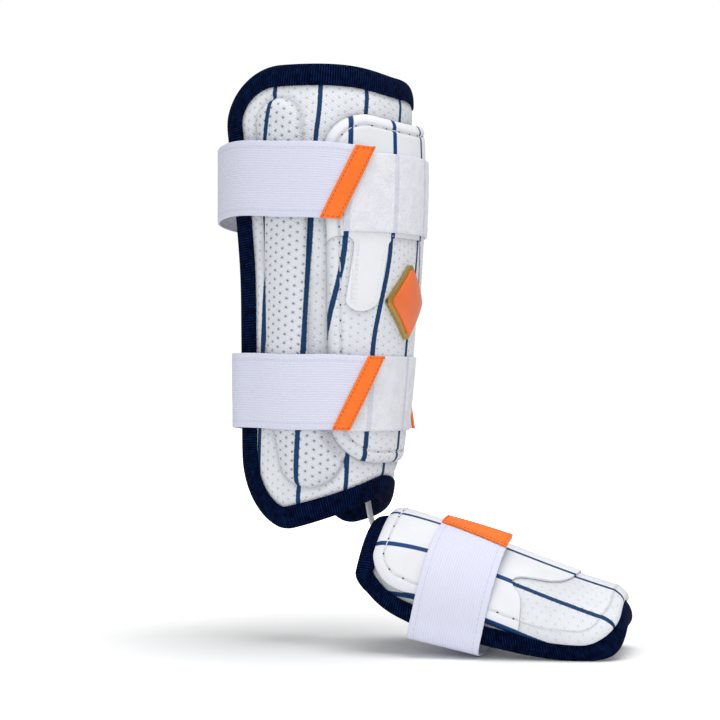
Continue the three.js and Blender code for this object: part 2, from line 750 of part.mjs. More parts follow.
for (const [side, end, way] of [
  ["left", footLeft, -1],
  ["right", footRight, 1],
]) {
  add(
    foot,
    `foot_tag_${side}`,
    wall(
      footStrapForm,
      (s, t) => [end(t) + way * FOOT_STRAP.tag_arc * s, footAlong(t)],
      even(2),
      even(1),
      flat(STRAP_THICKNESS + TAG_GAP + TAG_THICKNESS),
      flat(STRAP_THICKNESS + TAG_GAP),
    ),
    ORANGE_TAB,
  );
}
foot.rotation.z = FOOT_TOE_OUT;

// Link strip: a flat elastic along a route in the plane of symmetry
const linkCurve = new THREE.CatmullRomCurve3(
  LINK_ROUTE.map(({ y, z }) => new THREE.Vector3(0, y, z)),
);
function linkForm(x, share, stand) {
  const run = linkCurve.getTangentAt(share);
  const out = new THREE.Vector3(0, run.z, -run.y);
  const at = linkCurve.getPointAt(share).addScaledVector(out, stand);
  at.x = x;
  return at;
}
add(
  shin,
  "link_strip",
  wall(
    linkForm,
    (s, t) => [s * LINK_HALF_WIDTH, t],
    [-1, 1],
    even(16),
    flat(LINK_THICKNESS / 2),
    flat(-LINK_THICKNESS / 2),
  ),
  GREY_ELASTIC,
);

export default root;
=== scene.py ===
"""Dresses a batter's leg guard: a shin guard with its straps and the foot guard that hangs below it.

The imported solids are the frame. Each piece is cut as a flat pattern, gets its thickness there and is
then wrapped on the form of the shin, the foot or a strap's loop. A pattern's own coordinates become the
piece's UV map, in metres, so that stripes, perforations and ribs follow the cloth as printed cloth does.
Sizes are millimetres, apart from the studio's, and the meshes are metres.
"""

import logging
import math
from collections.abc import Callable, Iterable, Sequence
from dataclasses import dataclass, field, replace
from enum import Enum
from functools import cache
from typing import NamedTuple, Protocol

import bpy
import numpy as np
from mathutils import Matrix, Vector

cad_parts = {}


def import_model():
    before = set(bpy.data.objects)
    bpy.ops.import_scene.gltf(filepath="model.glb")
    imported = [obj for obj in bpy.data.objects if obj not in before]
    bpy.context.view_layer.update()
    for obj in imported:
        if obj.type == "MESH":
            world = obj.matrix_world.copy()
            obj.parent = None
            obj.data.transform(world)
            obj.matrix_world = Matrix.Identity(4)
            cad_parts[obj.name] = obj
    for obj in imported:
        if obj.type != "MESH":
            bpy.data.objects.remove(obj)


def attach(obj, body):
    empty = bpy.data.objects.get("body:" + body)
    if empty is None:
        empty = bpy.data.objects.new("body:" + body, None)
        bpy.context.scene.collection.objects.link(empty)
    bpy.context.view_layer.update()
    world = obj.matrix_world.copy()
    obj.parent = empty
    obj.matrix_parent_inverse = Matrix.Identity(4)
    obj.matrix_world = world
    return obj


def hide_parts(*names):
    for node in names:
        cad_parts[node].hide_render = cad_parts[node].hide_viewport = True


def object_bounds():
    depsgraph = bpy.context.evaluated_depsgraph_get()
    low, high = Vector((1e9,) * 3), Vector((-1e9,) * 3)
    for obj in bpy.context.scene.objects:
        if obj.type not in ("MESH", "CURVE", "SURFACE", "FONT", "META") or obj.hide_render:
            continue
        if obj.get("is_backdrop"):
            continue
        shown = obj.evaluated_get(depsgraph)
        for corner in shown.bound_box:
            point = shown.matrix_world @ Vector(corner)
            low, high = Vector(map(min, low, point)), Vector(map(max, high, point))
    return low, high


LOG = logging.getLogger("leg_guard")
MM = 0.001
BODY = "root"
OUTLINE_STEP = 2.0  # between the points of a padded piece's outline
SLOPE_STEP = 0.5  # to either side of a place where a form's slope is read
AHEAD_STEP = 0.3  # from a stitch's middle to the place that it points to
PLUMPNESS = 2.15  # of a binding's fold, where 2 is an ellipse

Values = np.ndarray
Piece = bpy.types.Object
Socket = bpy.types.NodeSocket
Colour = tuple[float, float, float]
Patch = Callable[[Values, Values], tuple[Values, Values]]
Relief = Callable[[Values, Values], Values]
Stand = Callable[[Values, Values, Values], Values]


class Side(Enum):
    """The guard's two sides as seen from in front of it, as signs of X."""

    LEFT = -1
    RIGHT = 1


# Curves and outlines


def smoothstep(at: Values, low: float, high: float) -> Values:
    """Eases from 0 to 1 between two limits."""
    share = np.clip((np.asarray(at, float) - low) / (high - low), 0, 1)
    return share * share * (3 - 2 * share)


def bell(off: Values, width: float) -> Values:
    """Gives a rounded hump that is 1 where a distance is 0 and fades over a width."""
    return np.exp(-((off / width) ** 2))


def ring(points: Values) -> Values:
    """Closes a row of points by repeating the first one at the end."""
    return np.vstack([points, points[:1]])


def walked(points: Values) -> Values:
    """Gives the way walked along a row of points, up to each of them."""
    return np.concatenate([[0], np.cumsum(np.linalg.norm(np.diff(points, axis=0), axis=1))])


def unit(rows: Values) -> Values:
    """Scales each row to a length of one."""
    return rows / np.linalg.norm(rows, axis=1, keepdims=True)


class Curve:
    """A smooth curve through the rows of a short table, held level past its ends."""

    def __init__(self, rows: Sequence[tuple], column: str = "") -> None:
        """Keeps a table's places.

        Args:
            rows: The table, with the places in its first column.
            column: The named column that holds the values, or none for the second one.
        """
        self.places = np.array([row[0] for row in rows], float)
        self.values = np.array([getattr(row, column) if column else row[1] for row in rows], float)

    def __call__(self, at: Values) -> Values:
        """Reads the curve.

        Args:
            at: Places along the table's first column.

        Returns:
            The curve's values there.
        """
        places, values = self.places, self.values
        at = np.clip(np.asarray(at, float), places[0], places[-1])
        after = np.clip(np.searchsorted(places, at, side="right"), 1, len(places) - 1)
        before = after - 1
        prior = np.where(before == 0, after, before - 1)
        beyond = np.where(after == len(places) - 1, before, np.minimum(after + 1, len(places) - 1))
        start, end = places[before], places[after]
        half = (end - start) / 2
        lead = half / (start - places[prior])
        trail = half / (places[beyond] - end)
        p = (at - start) / (end - start)
        return (
            values[prior] * lead * (-(p**3) + 2 * p**2 - p)
            + values[before] * ((1 + lead) * p**3 - (1.5 + 2 * lead) * p**2 + (lead - 0.5) * p + 1)
            + values[after] * (-(1 + trail) * p**3 + (1.5 + trail) * p**2 + 0.5 * p)
            + values[beyond] * trail * (p**3 - p**2)
        )


@dataclass(frozen=True)
class Corner:
    """A rounded corner of a pattern.

    Attributes:
        wide: How far it draws the side edge in.
        high: How far along the side edge it reaches.
    """

    wide: float
    high: float

    def inset(self, distance: Values) -> Values:
        """Tells how far the side edge is drawn in, at a distance from its end."""
        share = np.clip(1 - np.maximum(distance, 0) / self.high, 0, 1)
        return self.wide - self.wide * np.sqrt(1 - share**2)


@dataclass(frozen=True)
class ToeCorners:
    """The two corners of a toe."""

    inner: Corner
    outer: Corner

    def inset(self, s: Values, distance: Values) -> Values:
        """Tells how far the side edges are drawn in, by the share across and the distance to the toe."""
        return np.where(s > 0, self.outer.inset(distance), self.inner.inset(distance))


@dataclass
class Outline:
    """A closed outline of a pattern."""

    points: Values

    @classmethod
    def of_patch(cls, patch: Patch, step: float, samples: int = 160) -> "Outline":
        """Walks once round a patch.

        Args:
            patch: The pattern, over shares across from -1 to 1 and along from 0 to 1.
            step: Distance between the outline's points.
            samples: Places read on each side of the patch.

        Returns:
            The outline, with evenly spaced points.
        """
        across = np.linspace(-1, 1, samples)
        along = (1 - np.cos(np.linspace(0, math.pi, samples))) / 2
        ones = np.ones(samples)
        sides = (
            patch(across, 0 * ones),
            patch(ones, along),
            patch(across[::-1], ones),
            patch(-ones, along[::-1]),
        )
        return cls(np.vstack([np.column_stack(side)[:-1] for side in sides])).spaced(step)

    def spaced(self, step: float) -> "Outline":
        """Makes the same outline with evenly spaced points.

        Args:
            step: How far apart the points lie, roughly.

        Returns:
            The new outline.
        """
        closed = ring(self.points)
        run = walked(closed)
        at = np.linspace(0, run[-1], round(run[-1] / step), endpoint=False)
        return Outline(np.column_stack([np.interp(at, run, closed[:, k]) for k in (0, 1)]))

    def inward(self) -> Values:
        """Gives each point's direction into the outline.

        Returns:
            Directions of length one, one row each.
        """
        run = unit(np.roll(self.points, -1, axis=0) - np.roll(self.points, 1, axis=0))
        inward = np.column_stack([-run[:, 1], run[:, 0]])
        towards = self.points.mean(0) - self.points
        return inward * np.sign(np.sum(inward * towards))

    def inset(self, distance: float) -> "Outline":
        """Makes the outline that lies a distance inside this one."""
        return Outline(self.points + distance * self.inward())

    def distance(self, u: Values, v: Values) -> Values:
        """Measures how far places lie from the outline.

        Args:
            u: The places' first coordinates.
            v: The places' second coordinates.

        Returns:
            The distances, none of them negative.
        """
        here = np.column_stack([np.ravel(u), np.ravel(v)])
        side = np.roll(self.points, -1, axis=0) - self.points
        square = np.sum(side**2, axis=1)
        least = np.full(len(here), np.inf)
        for start, run, length in zip(self.points, side, square):
            share = np.clip((here - start) @ run / length, 0, 1)
            least = np.minimum(least, np.linalg.norm(here - start - share[:, None] * run, axis=1))
        return least.reshape(np.shape(u))

    def holds(self, u: Values, v: Values) -> Values:
        """Tells which places lie inside the outline.

        Args:
            u: The places' first coordinates.
            v: The places' second coordinates.

        Returns:
            True where a place lies inside.
        """
        u, v = np.asarray(u, float), np.asarray(v, float)
        inside = np.zeros(u.shape, bool)
        for (u0, v0), (u1, v1) in zip(self.points, np.roll(self.points, -1, axis=0)):
            if v0 == v1:
                continue
            crosses = (v0 > v) != (v1 > v)
            inside ^= crosses & (u < (u1 - u0) * (v - v0) / (v1 - v0) + u0)
        return inside


# Forms that patterns are wrapped on


class Form(Protocol):
    """A surface with two pattern coordinates and a distance off it, all in millimetres."""

    def place(self, u: Values, v: Values, stand: Values) -> Values:
        """Wraps pattern coordinates on the form.

        Args:
            u: First pattern coordinates.
            v: Second pattern coordinates.
            stand: Distances off the form.

        Returns:
            Points in metres, one row each.
        """


@dataclass(frozen=True)
class ShinForm:
    """Half a round cone in front of the leg, with flat sides behind the leg's axis."""

    radius: float = 48.5
    taper: float = 0.05
    axis_y: float = 39.8

    def radius_at(self, z: Values) -> Values:
        """Gives the pad's outside radius at a height."""
        return self.radius + self.taper * np.asarray(z, float)

    def place(self, u: Values, v: Values, stand: Values) -> Values:
        """Wraps pattern coordinates on the shin.

        Args:
            u: Ways round the shell from its front.
            v: Heights.
            stand: Distances off the pad's plain face.

        Returns:
            Points in metres, one row each.
        """
        radius = self.radius_at(v)
        turn = np.clip(u / radius, -math.pi / 2, math.pi / 2)
        behind = np.maximum(np.abs(u) - radius * math.pi / 2, 0)
        x = (radius + stand) * np.sin(turn)
        y = self.axis_y - (radius + stand) * np.cos(turn) + behind
        return np.column_stack([x, y, v]) * MM


class LoopRow(NamedTuple):
    """One place on a strap's loop: degrees from its start, distance from its axis, and lift."""

    angle: float
    radius: float
    lift: float = 0.0


@dataclass(frozen=True, kw_only=True)
class LoopForm:
    """A strap's loop, with the way round it as the first pattern coordinate."""

    rows: tuple[LoopRow, ...]
    middle: float
    mean_radius: float

    def way(self, degrees: Values) -> Values:
        """Turns degrees from the loop's start into a way round it."""
        return np.radians(degrees) * self.mean_radius

    def turn(self, u: Values) -> tuple[Values, Values]:
        """Reads a way round the loop.

        Args:
            u: Ways round.

        Returns:
            The angles in radians, and how many degrees they lie from the start on either side.
        """
        degrees = np.degrees(u / self.mean_radius)
        return np.radians(degrees), np.abs((degrees + 180) % 360 - 180)


@dataclass(frozen=True, kw_only=True)
class ShinLoop(LoopForm):
    """A strap's loop round the leg, from the front to the back."""

    mean_radius: float = 60.0
    shin: ShinForm
    upright: tuple[float, float] = (80, 140)

    def place(self, u: Values, v: Values, stand: Values) -> Values:
        """Wraps pattern coordinates on the loop.

        Args:
            u: Ways round the loop from the front.
            v: Heights.
            stand: Distances off the loop.

        Returns:
            Points in metres, one row each.
        """
        turn, folded = self.turn(u)
        taper = self.shin.taper * (1 - smoothstep(folded, *self.upright))
        reach = Curve(self.rows, "radius")(folded) + taper * (v - self.middle) + stand
        y = self.shin.axis_y - reach * np.cos(turn)
        return np.column_stack([reach * np.sin(turn), y, v + Curve(self.rows, "lift")(folded)]) * MM


class FootRow(NamedTuple):
    """One section of the foot guard: its place forward, ridge height, half width and edge height."""

    forward: float
    ridge: float
    half: float
    edge: float


@dataclass(frozen=True)
class FootForm:
    """The foot guard's arch, with the way across from the ridge as the first coordinate."""

    rows: tuple[FootRow, ...] = (
        FootRow(0, -131.5, 40, -172),
        FootRow(14, -133.5, 42, -181.5),
        FootRow(32, -138.5, 44, -190),
        FootRow(70, -151.5, 45.5, -199.5),
        FootRow(114, -167, 44, -207),
        FootRow(154, -179, 39, -206.5),
    )
    toe_out: float = 17.0
    toe_start: float = 136.0
    toe_round: float = 15.0
    heel_sweep: float = 4.0
    sweep_fall: float = 4.0

    @property
    def length(self) -> float:
        """Gives the way from the ankle end to the toe."""
        return self.rows[-1].forward

    def sweep(self, s: Values, t: Values) -> Values:
        """Gives how far a place is swept back, by its shares across and along."""
        return self.heel_sweep * s**2 * (1 - t) ** self.sweep_fall

    def turned(self, points: Values) -> Values:
        """Turns points of the straight foot out to the side.

        Args:
            points: The points, one row each.

        Returns:
            The turned points.
        """
        cos, sin = math.cos(math.radians(self.toe_out)), math.sin(math.radians(self.toe_out))
        x, y, z = points.T
        return np.column_stack([x * cos - y * sin, x * sin + y * cos, z])

    def toe_turn(self, forward: Values) -> Values:
        """Gives how far the toe has turned down at a place forward, in radians."""
        return np.maximum(forward - self.toe_start, 0) / self.toe_round

    def section(self, forward: Values) -> tuple[Values, Values, Values]:
        """Reads the arch.

        Args:
            forward: Places forward.

        Returns:
            The arch's half width, its rise and its edge height there.
        """
        drop = self.toe_round * (1 - np.cos(self.toe_turn(forward)))
        ridge, half, edge = (Curve(self.rows, name)(forward) for name in ("ridge", "half", "edge"))
        return half - drop, ridge - drop - edge, edge

    def reach(self, forward: Values) -> Values:
        """Gives the way across from the ridge to the arch's lower edge."""
        half, rise, _ = self.section(np.asarray(forward, float))
        return np.hypot(half, rise) / math.sqrt(2) * math.pi / 2

    def skin(self, w: Values, forward: Values) -> Values:
        """Finds places on the straight foot's face.

        Args:
            w: Ways across from the ridge.
            forward: Places forward.

        Returns:
            Points in millimetres, one row each.
        """
        half, rise, edge = self.section(forward)
        turn = w / (np.hypot(half, rise) / math.sqrt(2))
        reach = np.minimum(forward, self.toe_start) + self.toe_round * np.sin(self.toe_turn(forward))
        return np.column_stack([half * np.sin(turn), -reach, edge + rise * np.cos(turn)])

    def place(self, u: Values, v: Values, stand: Values) -> Values:
        """Wraps pattern coordinates on the foot.

        Args:
            u: Ways across from the ridge.
            v: Places forward.
            stand: Distances off the pad's plain face.

        Returns:
            Points in metres, one row each.
        """
        across = self.skin(u + SLOPE_STEP, v) - self.skin(u - SLOPE_STEP, v)
        onward = self.skin(u, v + SLOPE_STEP) - self.skin(u, v - SLOPE_STEP)
        out = unit(np.cross(onward, across))
        return self.turned(self.skin(u, v) + out * np.asarray(stand)[:, None]) * MM


@dataclass(frozen=True, kw_only=True)
class FootLoop(LoopForm):
    """The foot strap's loop, from the top to the sole, leaning with the instep."""

    rows: tuple[LoopRow, ...] = (
        LoopRow(0, 36.5),
        LoopRow(25, 38.5),
        LoopRow(45, 42),
        LoopRow(70, 46),
        LoopRow(90, 49.5),
        LoopRow(106, 52.5),
        LoopRow(119, 55.5),
        LoopRow(128, 48),
        LoopRow(142, 36.5),
        LoopRow(160, 30),
        LoopRow(180, 28.5),
    )
    middle: float = 0.0
    mean_radius: float = 42.0
    foot: FootForm
    forward: float = 54.0
    height: float = -174.0
    tilt: float = 12.0

    def place(self, u: Values, v: Values, stand: Values) -> Values:
        """Wraps pattern coordinates on the loop.

        Args:
            u: Ways round the loop from the top.
            v: Ways forward along the strap's width.
            stand: Distances off the loop.

        Returns:
            Points in metres, one row each.
        """
        turn, folded = self.turn(u)
        reach = Curve(self.rows, "radius")(folded) + stand
        up = reach * np.cos(turn)
        cos, sin = math.cos(math.radians(self.tilt)), math.sin(math.radians(self.tilt))
        y = -self.forward - v * cos - up * sin
        z = self.height - v * sin + up * cos
        return self.foot.turned(np.column_stack([reach * np.sin(turn), y, z])) * MM


@dataclass(frozen=True)
class LinkForm:
    """A narrow strip in the plane of symmetry, with X as the first coordinate."""

    route: tuple[tuple[float, float], ...] = (
        (9.4, -84),
        (9.4, -112),
        (8.2, -124),
        (4.6, -137.5),
        (1.2, -142),
        (-6, -142.4),
        (-20, -143.6),
    )

    def length(self) -> float:
        """Gives the way along the route."""
        return float(walked(np.array(self.route))[-1])

    def place(self, u: Values, v: Values, stand: Values) -> Values:
        """Wraps pattern coordinates on the route.

        Args:
            u: Ways across the strip.
            v: Ways along it.
            stand: Distances off its middle.

        Returns:
            Points in metres, one row each.
        """
        points = np.array(self.route, float)
        y, z = (Curve(list(zip(walked(points), points[:, k]))) for k in (0, 1))
        before, after = v - SLOPE_STEP, v + SLOPE_STEP
        along = unit(np.column_stack([y(after) - y(before), z(after) - z(before)]))
        return np.column_stack([u, y(v) + along[:, 1] * stand, z(v) - along[:, 0] * stand]) * MM


# Mesh work


def activate(piece: Piece) -> None:
    """Makes a piece the only selected object, and the active one."""
    bpy.ops.object.select_all(action="DESELECT")
    piece.select_set(True)
    bpy.context.view_layer.objects.active = piece


def start(name: str, primitive: Callable, **settings: object) -> Piece:
    """Adds a primitive, with nothing else selected.

    Args:
        name: The piece's name.
        primitive: The operator that adds it.
        **settings: The operator's settings.

    Returns:
        The new piece.
    """
    bpy.ops.object.select_all(action="DESELECT")
    primitive(**settings)
    piece = bpy.context.active_object
    piece.name = piece.data.name = name
    return piece


def read_vectors(piece: Piece, kind: str = "co") -> Values:
    """Reads a piece's vertices.

    Args:
        piece: The piece.
        kind: What is read: "co" for their places, or "normal".

    Returns:
        One row for each vertex.
    """
    vectors = np.empty(len(piece.data.vertices) * 3, np.float32)
    piece.data.vertices.foreach_get(kind, vectors)
    return vectors.reshape(-1, 3).astype(float)


def write_points(piece: Piece, points: Values) -> None:
    """Moves a piece's vertices."""
    piece.data.vertices.foreach_set("co", np.ascontiguousarray(points, np.float32).ravel())
    piece.data.update()


def loop_vertices(piece: Piece) -> Values:
    """Gives the vertex of each face corner.

    Args:
        piece: The piece.

    Returns:
        The vertices' numbers.
    """
    corners = np.empty(len(piece.data.loops), np.int32)
    piece.data.loops.foreach_get("vertex_index", corners)
    return corners


def keep_pattern(piece: Piece) -> None:
    """Writes a flat pattern's coordinates to its UV map, in metres.

    Args:
        piece: The flat pattern.
    """
    layer = piece.data.uv_layers.active or piece.data.uv_layers.new(name="pattern")
    uv = read_vectors(piece)[loop_vertices(piece), :2] * MM
    layer.data.foreach_set("uv", np.ascontiguousarray(uv, np.float32).ravel())


def read_pattern(piece: Piece) -> Values:
    """Reads pattern coordinates back from the UV map.

    Args:
        piece: The piece.

    Returns:
        The first coordinates and the second ones, for each vertex, in millimetres.
    """
    corners = loop_vertices(piece)
    uv = np.empty(len(corners) * 2, np.float32)
    piece.data.uv_layers.active.data.foreach_get("uv", uv)
    pattern = np.zeros((len(piece.data.vertices), 2))
    pattern[corners] = uv.reshape(-1, 2) / MM
    return pattern.T


def write_attribute(piece: Piece, name: str, values: Values) -> None:
    """Keeps numbers for a material or a later step.

    Args:
        piece: The piece.
        name: The attribute's name.
        values: One number for each vertex.
    """
    kept = piece.data.attributes.get(name) or piece.data.attributes.new(name, "FLOAT", "POINT")
    kept.data.foreach_set("value", np.ascontiguousarray(values, np.float32))


def read_attribute(piece: Piece, name: str) -> Values:
    """Reads kept numbers.

    Args:
        piece: The piece.
        name: The attribute's name.

    Returns:
        One number for each vertex.
    """
    values = np.empty(len(piece.data.vertices), np.float32)
    piece.data.attributes[name].data.foreach_get("value", values)
    return values.astype(float)


def apply_modifier(piece: Piece, kind: str, **settings: object) -> None:
    """Adds one modifier to a piece and applies it.

    Args:
        piece: The piece.
        kind: The modifier's type.
        **settings: Values set on the modifier.
    """
    modifier = piece.modifiers.new(kind.lower(), kind)
    for key, value in settings.items():
        setattr(modifier, key, value)
    activate(piece)
    bpy.ops.object.modifier_apply(modifier=modifier.name)


def face_up(piece: Piece) -> None:
    """Turns a flat pattern over if its faces look down."""
    if piece.data.polygons[0].normal.z < 0:
        piece.data.flip_normals()


def cut_grid(name: str, columns: int, rows: int, patch: Patch) -> Piece:
    """Cuts a pattern as a grid of faces, flat on X and Y in millimetres.

    Args:
        name: The piece's name.
        columns: Faces across.
        rows: Faces along.
        patch: The pattern, over shares across from -1 to 1 and along from 0 to 1.

    Returns:
        The flat pattern.
    """
    grid = bpy.ops.mesh.primitive_grid_add
    piece = start(name, grid, x_subdivisions=columns, y_subdivisions=rows, size=2)
    points = read_vectors(piece)
    u, v = patch(points[:, 0], (points[:, 1] + 1) / 2)
    write_points(piece, np.column_stack([u, v, 0 * u]))
    face_up(piece)
    return piece


def quilt(piece: Piece, cuts: Iterable[tuple[int, float]]) -> None:
    """Parts a flat pattern into cells by straight cuts.

    Args:
        piece: The flat pattern.
        cuts: The axis that each cut stands across, and where it lies.
    """
    bpy.ops.object.mode_set(mode="EDIT")
    for axis, at in cuts:
        normal = tuple(float(k == axis) for k in range(3))
        bpy.ops.mesh.select_all(action="SELECT")
        bpy.ops.mesh.bisect(plane_co=tuple(float(at) * k for k in normal), plane_no=normal)
    bpy.ops.mesh.select_all(action="SELECT")
    bpy.ops.mesh.normals_make_consistent(inside=False)
    bpy.ops.object.mode_set(mode="OBJECT")
    face_up(piece)


def cut_outline(name: str, outline: Outline, cell: float) -> Piece:
    """Cuts a pattern along an outline and quilts it.

    Args:
        name: The piece's name.
        outline: The pattern's outline.
        cell: Distance between the cuts.

    Returns:
        The flat pattern.
    """
    circle = bpy.ops.mesh.primitive_circle_add
    piece = start(name, circle, vertices=len(outline.points), fill_type="NGON")
    write_points(piece, np.column_stack([outline.points, np.zeros(len(outline.points))]))
    low, high = outline.points.min(0) + cell / 2, outline.points.max(0)
    quilt(piece, [(axis, at) for axis in (0, 1) for at in np.arange(low[axis], high[axis], cell)])
    return piece


def thicken(piece: Piece, thickness: float, edge: float = 0.0) -> None:
    """Gives a flat pattern its thickness, upwards, and rounds its cut edges.

    Args:
        piece: The flat pattern.
        thickness: Its thickness.
        edge: Radius of the rounding, or 0 for a sharp cut.
    """
    apply_modifier(piece, "SOLIDIFY", thickness=thickness, offset=1.0)
    if edge > 0:
        apply_modifier(piece, "BEVEL", width=edge, segments=2, limit_method="ANGLE", angle_limit=1.0)


def wrap(piece: Piece, form: Form, stand: Stand) -> None:
    """Wraps a flat pattern on a form.

    Args:
        piece: The flat pattern, with its thickness.
        form: The form.
        stand: How far a place stands off the form, from its pattern coordinates and flat height.
    """
    keep_pattern(piece)
    u, v, height = read_vectors(piece).T
    write_attribute(piece, "side", height)
    write_points(piece, form.place(u, v, stand(u, v, height)))


@dataclass(frozen=True)
class Swell:
    """How a sewn cover swells over its foam."""

    cap: float
    pressure: float = 4.0
    frames: int = 20

    def run(self, piece: Piece, held: Values) -> None:
        """Simulates a closed cover and keeps the result.

        Args:
            piece: The cover.
            held: True where a vertex is held still.
        """
        rest = read_vectors(piece)
        group = piece.vertex_groups.new(name="sewn")
        for still in (False, True):
            group.add(np.flatnonzero(held == still).tolist(), float(still), "REPLACE")
        activate(piece)
        cloth = piece.modifiers.new("swell", "CLOTH")
        cloth.settings.vertex_group_mass = group.name
        cloth.settings.use_pressure = True
        cloth.settings.uniform_pressure_force = self.pressure
        cloth.settings.effector_weights.gravity = 0
        cloth.collision_settings.use_collision = False
        cloth.point_cache.frame_end = self.frames
        for frame in range(1, self.frames + 1):
            bpy.context.scene.frame_set(frame)
        bpy.ops.object.modifier_apply(modifier=cloth.name)
        bpy.context.scene.frame_set(1)
        piece.vertex_groups.clear()
        move = read_vectors(piece) - rest
        length = np.linalg.norm(move, axis=1, keepdims=True)
        share = np.minimum(1, self.cap * MM / np.maximum(length, 1e-9))
        write_points(piece, rest + move * share)
        LOG.info("%s swelled by up to %.2f mm", piece.name, float((length * share).max()) / MM)


def roll_section(width: float, back: float, front: float, fold: float, cloth: float) -> Values:
    """Draws the section of a tape that is folded round a padded edge.

    Args:
        width: How far the tape reaches in from the edge.
        back: Stand of the tape's back leg, outside.
        front: Stand of the tape's front leg, outside.
        fold: How far the fold stands out past the edge.
        cloth: The tape's thickness.

    Returns:
        The closed section, as insets and stands.
    """
    middle, half = (front + back) / 2, (front - back) / 2
    faces = []
    for count, inset in ((19, 0.0), (13, cloth)):
        turn = np.linspace(0, math.pi, count)
        out, up = (np.sign(way) * np.abs(way) ** (2 / PLUMPNESS) for way in (np.sin(turn), np.cos(turn)))
        faces.append(np.column_stack([width - (width + fold - inset) * out, middle + (half - inset) * up]))
    return np.vstack([faces[0], faces[1][::-1]])


def sweep_tape(name: str, form: Form, outline: Outline, section: Values) -> Piece:
    """Folds a tape round the edge of a padded pattern.

    Args:
        name: The piece's name.
        form: The form that the pattern lies on.
        outline: The pattern's edge.
        section: The tape's closed section, as insets from the edge and stands off the form.

    Returns:
        The tape, with the way along it and across it as its UV map.
    """
    count, size = len(outline.points), len(section)
    closed = ring(section)
    around, along = walked(closed), walked(ring(outline.points))
    piece = cut_grid(name, count, size, lambda s, t: (np.rint((s + 1) / 2 * count), np.rint(t * size)))
    major, minor = read_vectors(piece)[:, :2].astype(int).T
    write_points(piece, np.column_stack([along[major], around[minor], 0 * along[major]]))
    keep_pattern(piece)
    at = outline.points[major % count] + outline.inward()[major % count] * closed[minor, :1]
    write_points(piece, form.place(at[:, 0], at[:, 1], closed[minor, 1]))
    activate(piece)
    bpy.ops.object.mode_set(mode="EDIT")
    bpy.ops.mesh.select_all(action="SELECT")
    bpy.ops.mesh.remove_doubles(threshold=1e-6)
    bpy.ops.mesh.normals_make_consistent(inside=False)
    bpy.ops.object.mode_set(mode="OBJECT")
    return piece


# Shader node groups


class Tree:
    """Adds nodes to one tree and links them."""

    def __init__(self, tree: bpy.types.NodeTree) -> None:
        """Keeps the tree."""
        self.tree = tree

    def add(self, kind: str, **settings: object) -> bpy.types.Node:
        """Adds a node.

        Args:
            kind: The node's type.
            **settings: Its properties.

        Returns:
            The node.
        """
        node = self.tree.nodes.new(kind)
        for key, value in settings.items():
            setattr(node, key, value)
        return node

    def feed(self, socket: Socket, value: object) -> None:
        """Links a socket to another one, or sets its value.

        Args:
            socket: The socket.
            value: What goes in.
        """
        if isinstance(value, Socket):
            self.tree.links.new(value, socket)
        else:
            socket.default_value = value

    def math(self, operation: str, *values: object) -> Socket:
        """Adds a Math node.

        Args:
            operation: What it does.
            *values: Its numbers or the sockets that give them.

        Returns:
            Its output.
        """
        node = self.add("ShaderNodeMath", operation=operation)
        for socket, value in zip(node.inputs, values):
            self.feed(socket, value)
        return node.outputs[0]

    def inverse(self, value: object) -> Socket:
        """Adds a Math node that takes a value from 1."""
        return self.math("SUBTRACT", 1.0, value)

    def ease(self, value: object, low: object, high: object) -> Socket:
        """Adds a Map Range node that eases from 0 to 1.

        Args:
            value: What is eased.
            low: Where the ease starts.
            high: Where it ends.

        Returns:
            Its output.
        """
        node = self.add("ShaderNodeMapRange", interpolation_type="SMOOTHSTEP")
        for name, given in (("Value", value), ("From Min", low), ("From Max", high)):
            self.feed(node.inputs[name], given)
        return node.outputs["Result"]

    def mix(self, share: object, first: object, second: object) -> Socket:
        """Adds a Mix node for colours.

        Args:
            share: The second colour's share.
            first: The first colour.
            second: The second colour.

        Returns:
            Its output.
        """
        node = self.add("ShaderNodeMix", data_type="RGBA")
        for index, given in ((0, share), (6, first), (7, second)):
            self.feed(node.inputs[index], given)
        return node.outputs[2]

    def noise(self, vector: object, scale: object, detail: float = 2.0) -> Socket:
        """Adds a Noise Texture node.

        Args:
            vector: Where it is read.
            scale: Its scale.
            detail: Its detail.

        Returns:
            Its grey value.
        """
        node = self.add("ShaderNodeTexNoise")
        for name, given in (("Vector", vector), ("Scale", scale), ("Detail", detail)):
            self.feed(node.inputs[name], given)
        return node.outputs["Fac"]

    def mark(self, name: str) -> Socket:
        """Adds a node that reads a vertex attribute of the piece."""
        return self.add("ShaderNodeAttribute", attribute_name=name).outputs["Fac"]

    def group(self, group: bpy.types.NodeTree, **values: object) -> bpy.types.Node:
        """Places a node group.

        Args:
            group: The group.
            **values: Its inputs, with spaces in their names as underscores.

        Returns:
            The node.
        """
        node = self.add("ShaderNodeGroup", node_tree=group)
        for key, value in values.items():
            self.feed(node.inputs[key.replace("_", " ")], value)
        return node


def new_group(name: str, inputs: Sequence[str], outputs: Sequence[str]) -> tuple[Tree, dict, dict]:
    """Starts a shader node group whose sockets all hold numbers.

    Args:
        name: The group's name.
        inputs: Its inputs' names.
        outputs: Its outputs' names.

    Returns:
        The tree, its inputs by name, and the sockets that its outputs are fed through.
    """
    group = bpy.data.node_groups.new(name, "ShaderNodeTree")
    for direction, names in (("INPUT", inputs), ("OUTPUT", outputs)):
        for socket in names:
            group.interface.new_socket(name=socket, in_out=direction, socket_type="NodeSocketFloat")
    tree = Tree(group)
    given = tree.add("NodeGroupInput").outputs
    put = tree.add("NodeGroupOutput").inputs
    return tree, {name: given[name] for name in inputs}, {name: put[name] for name in outputs}


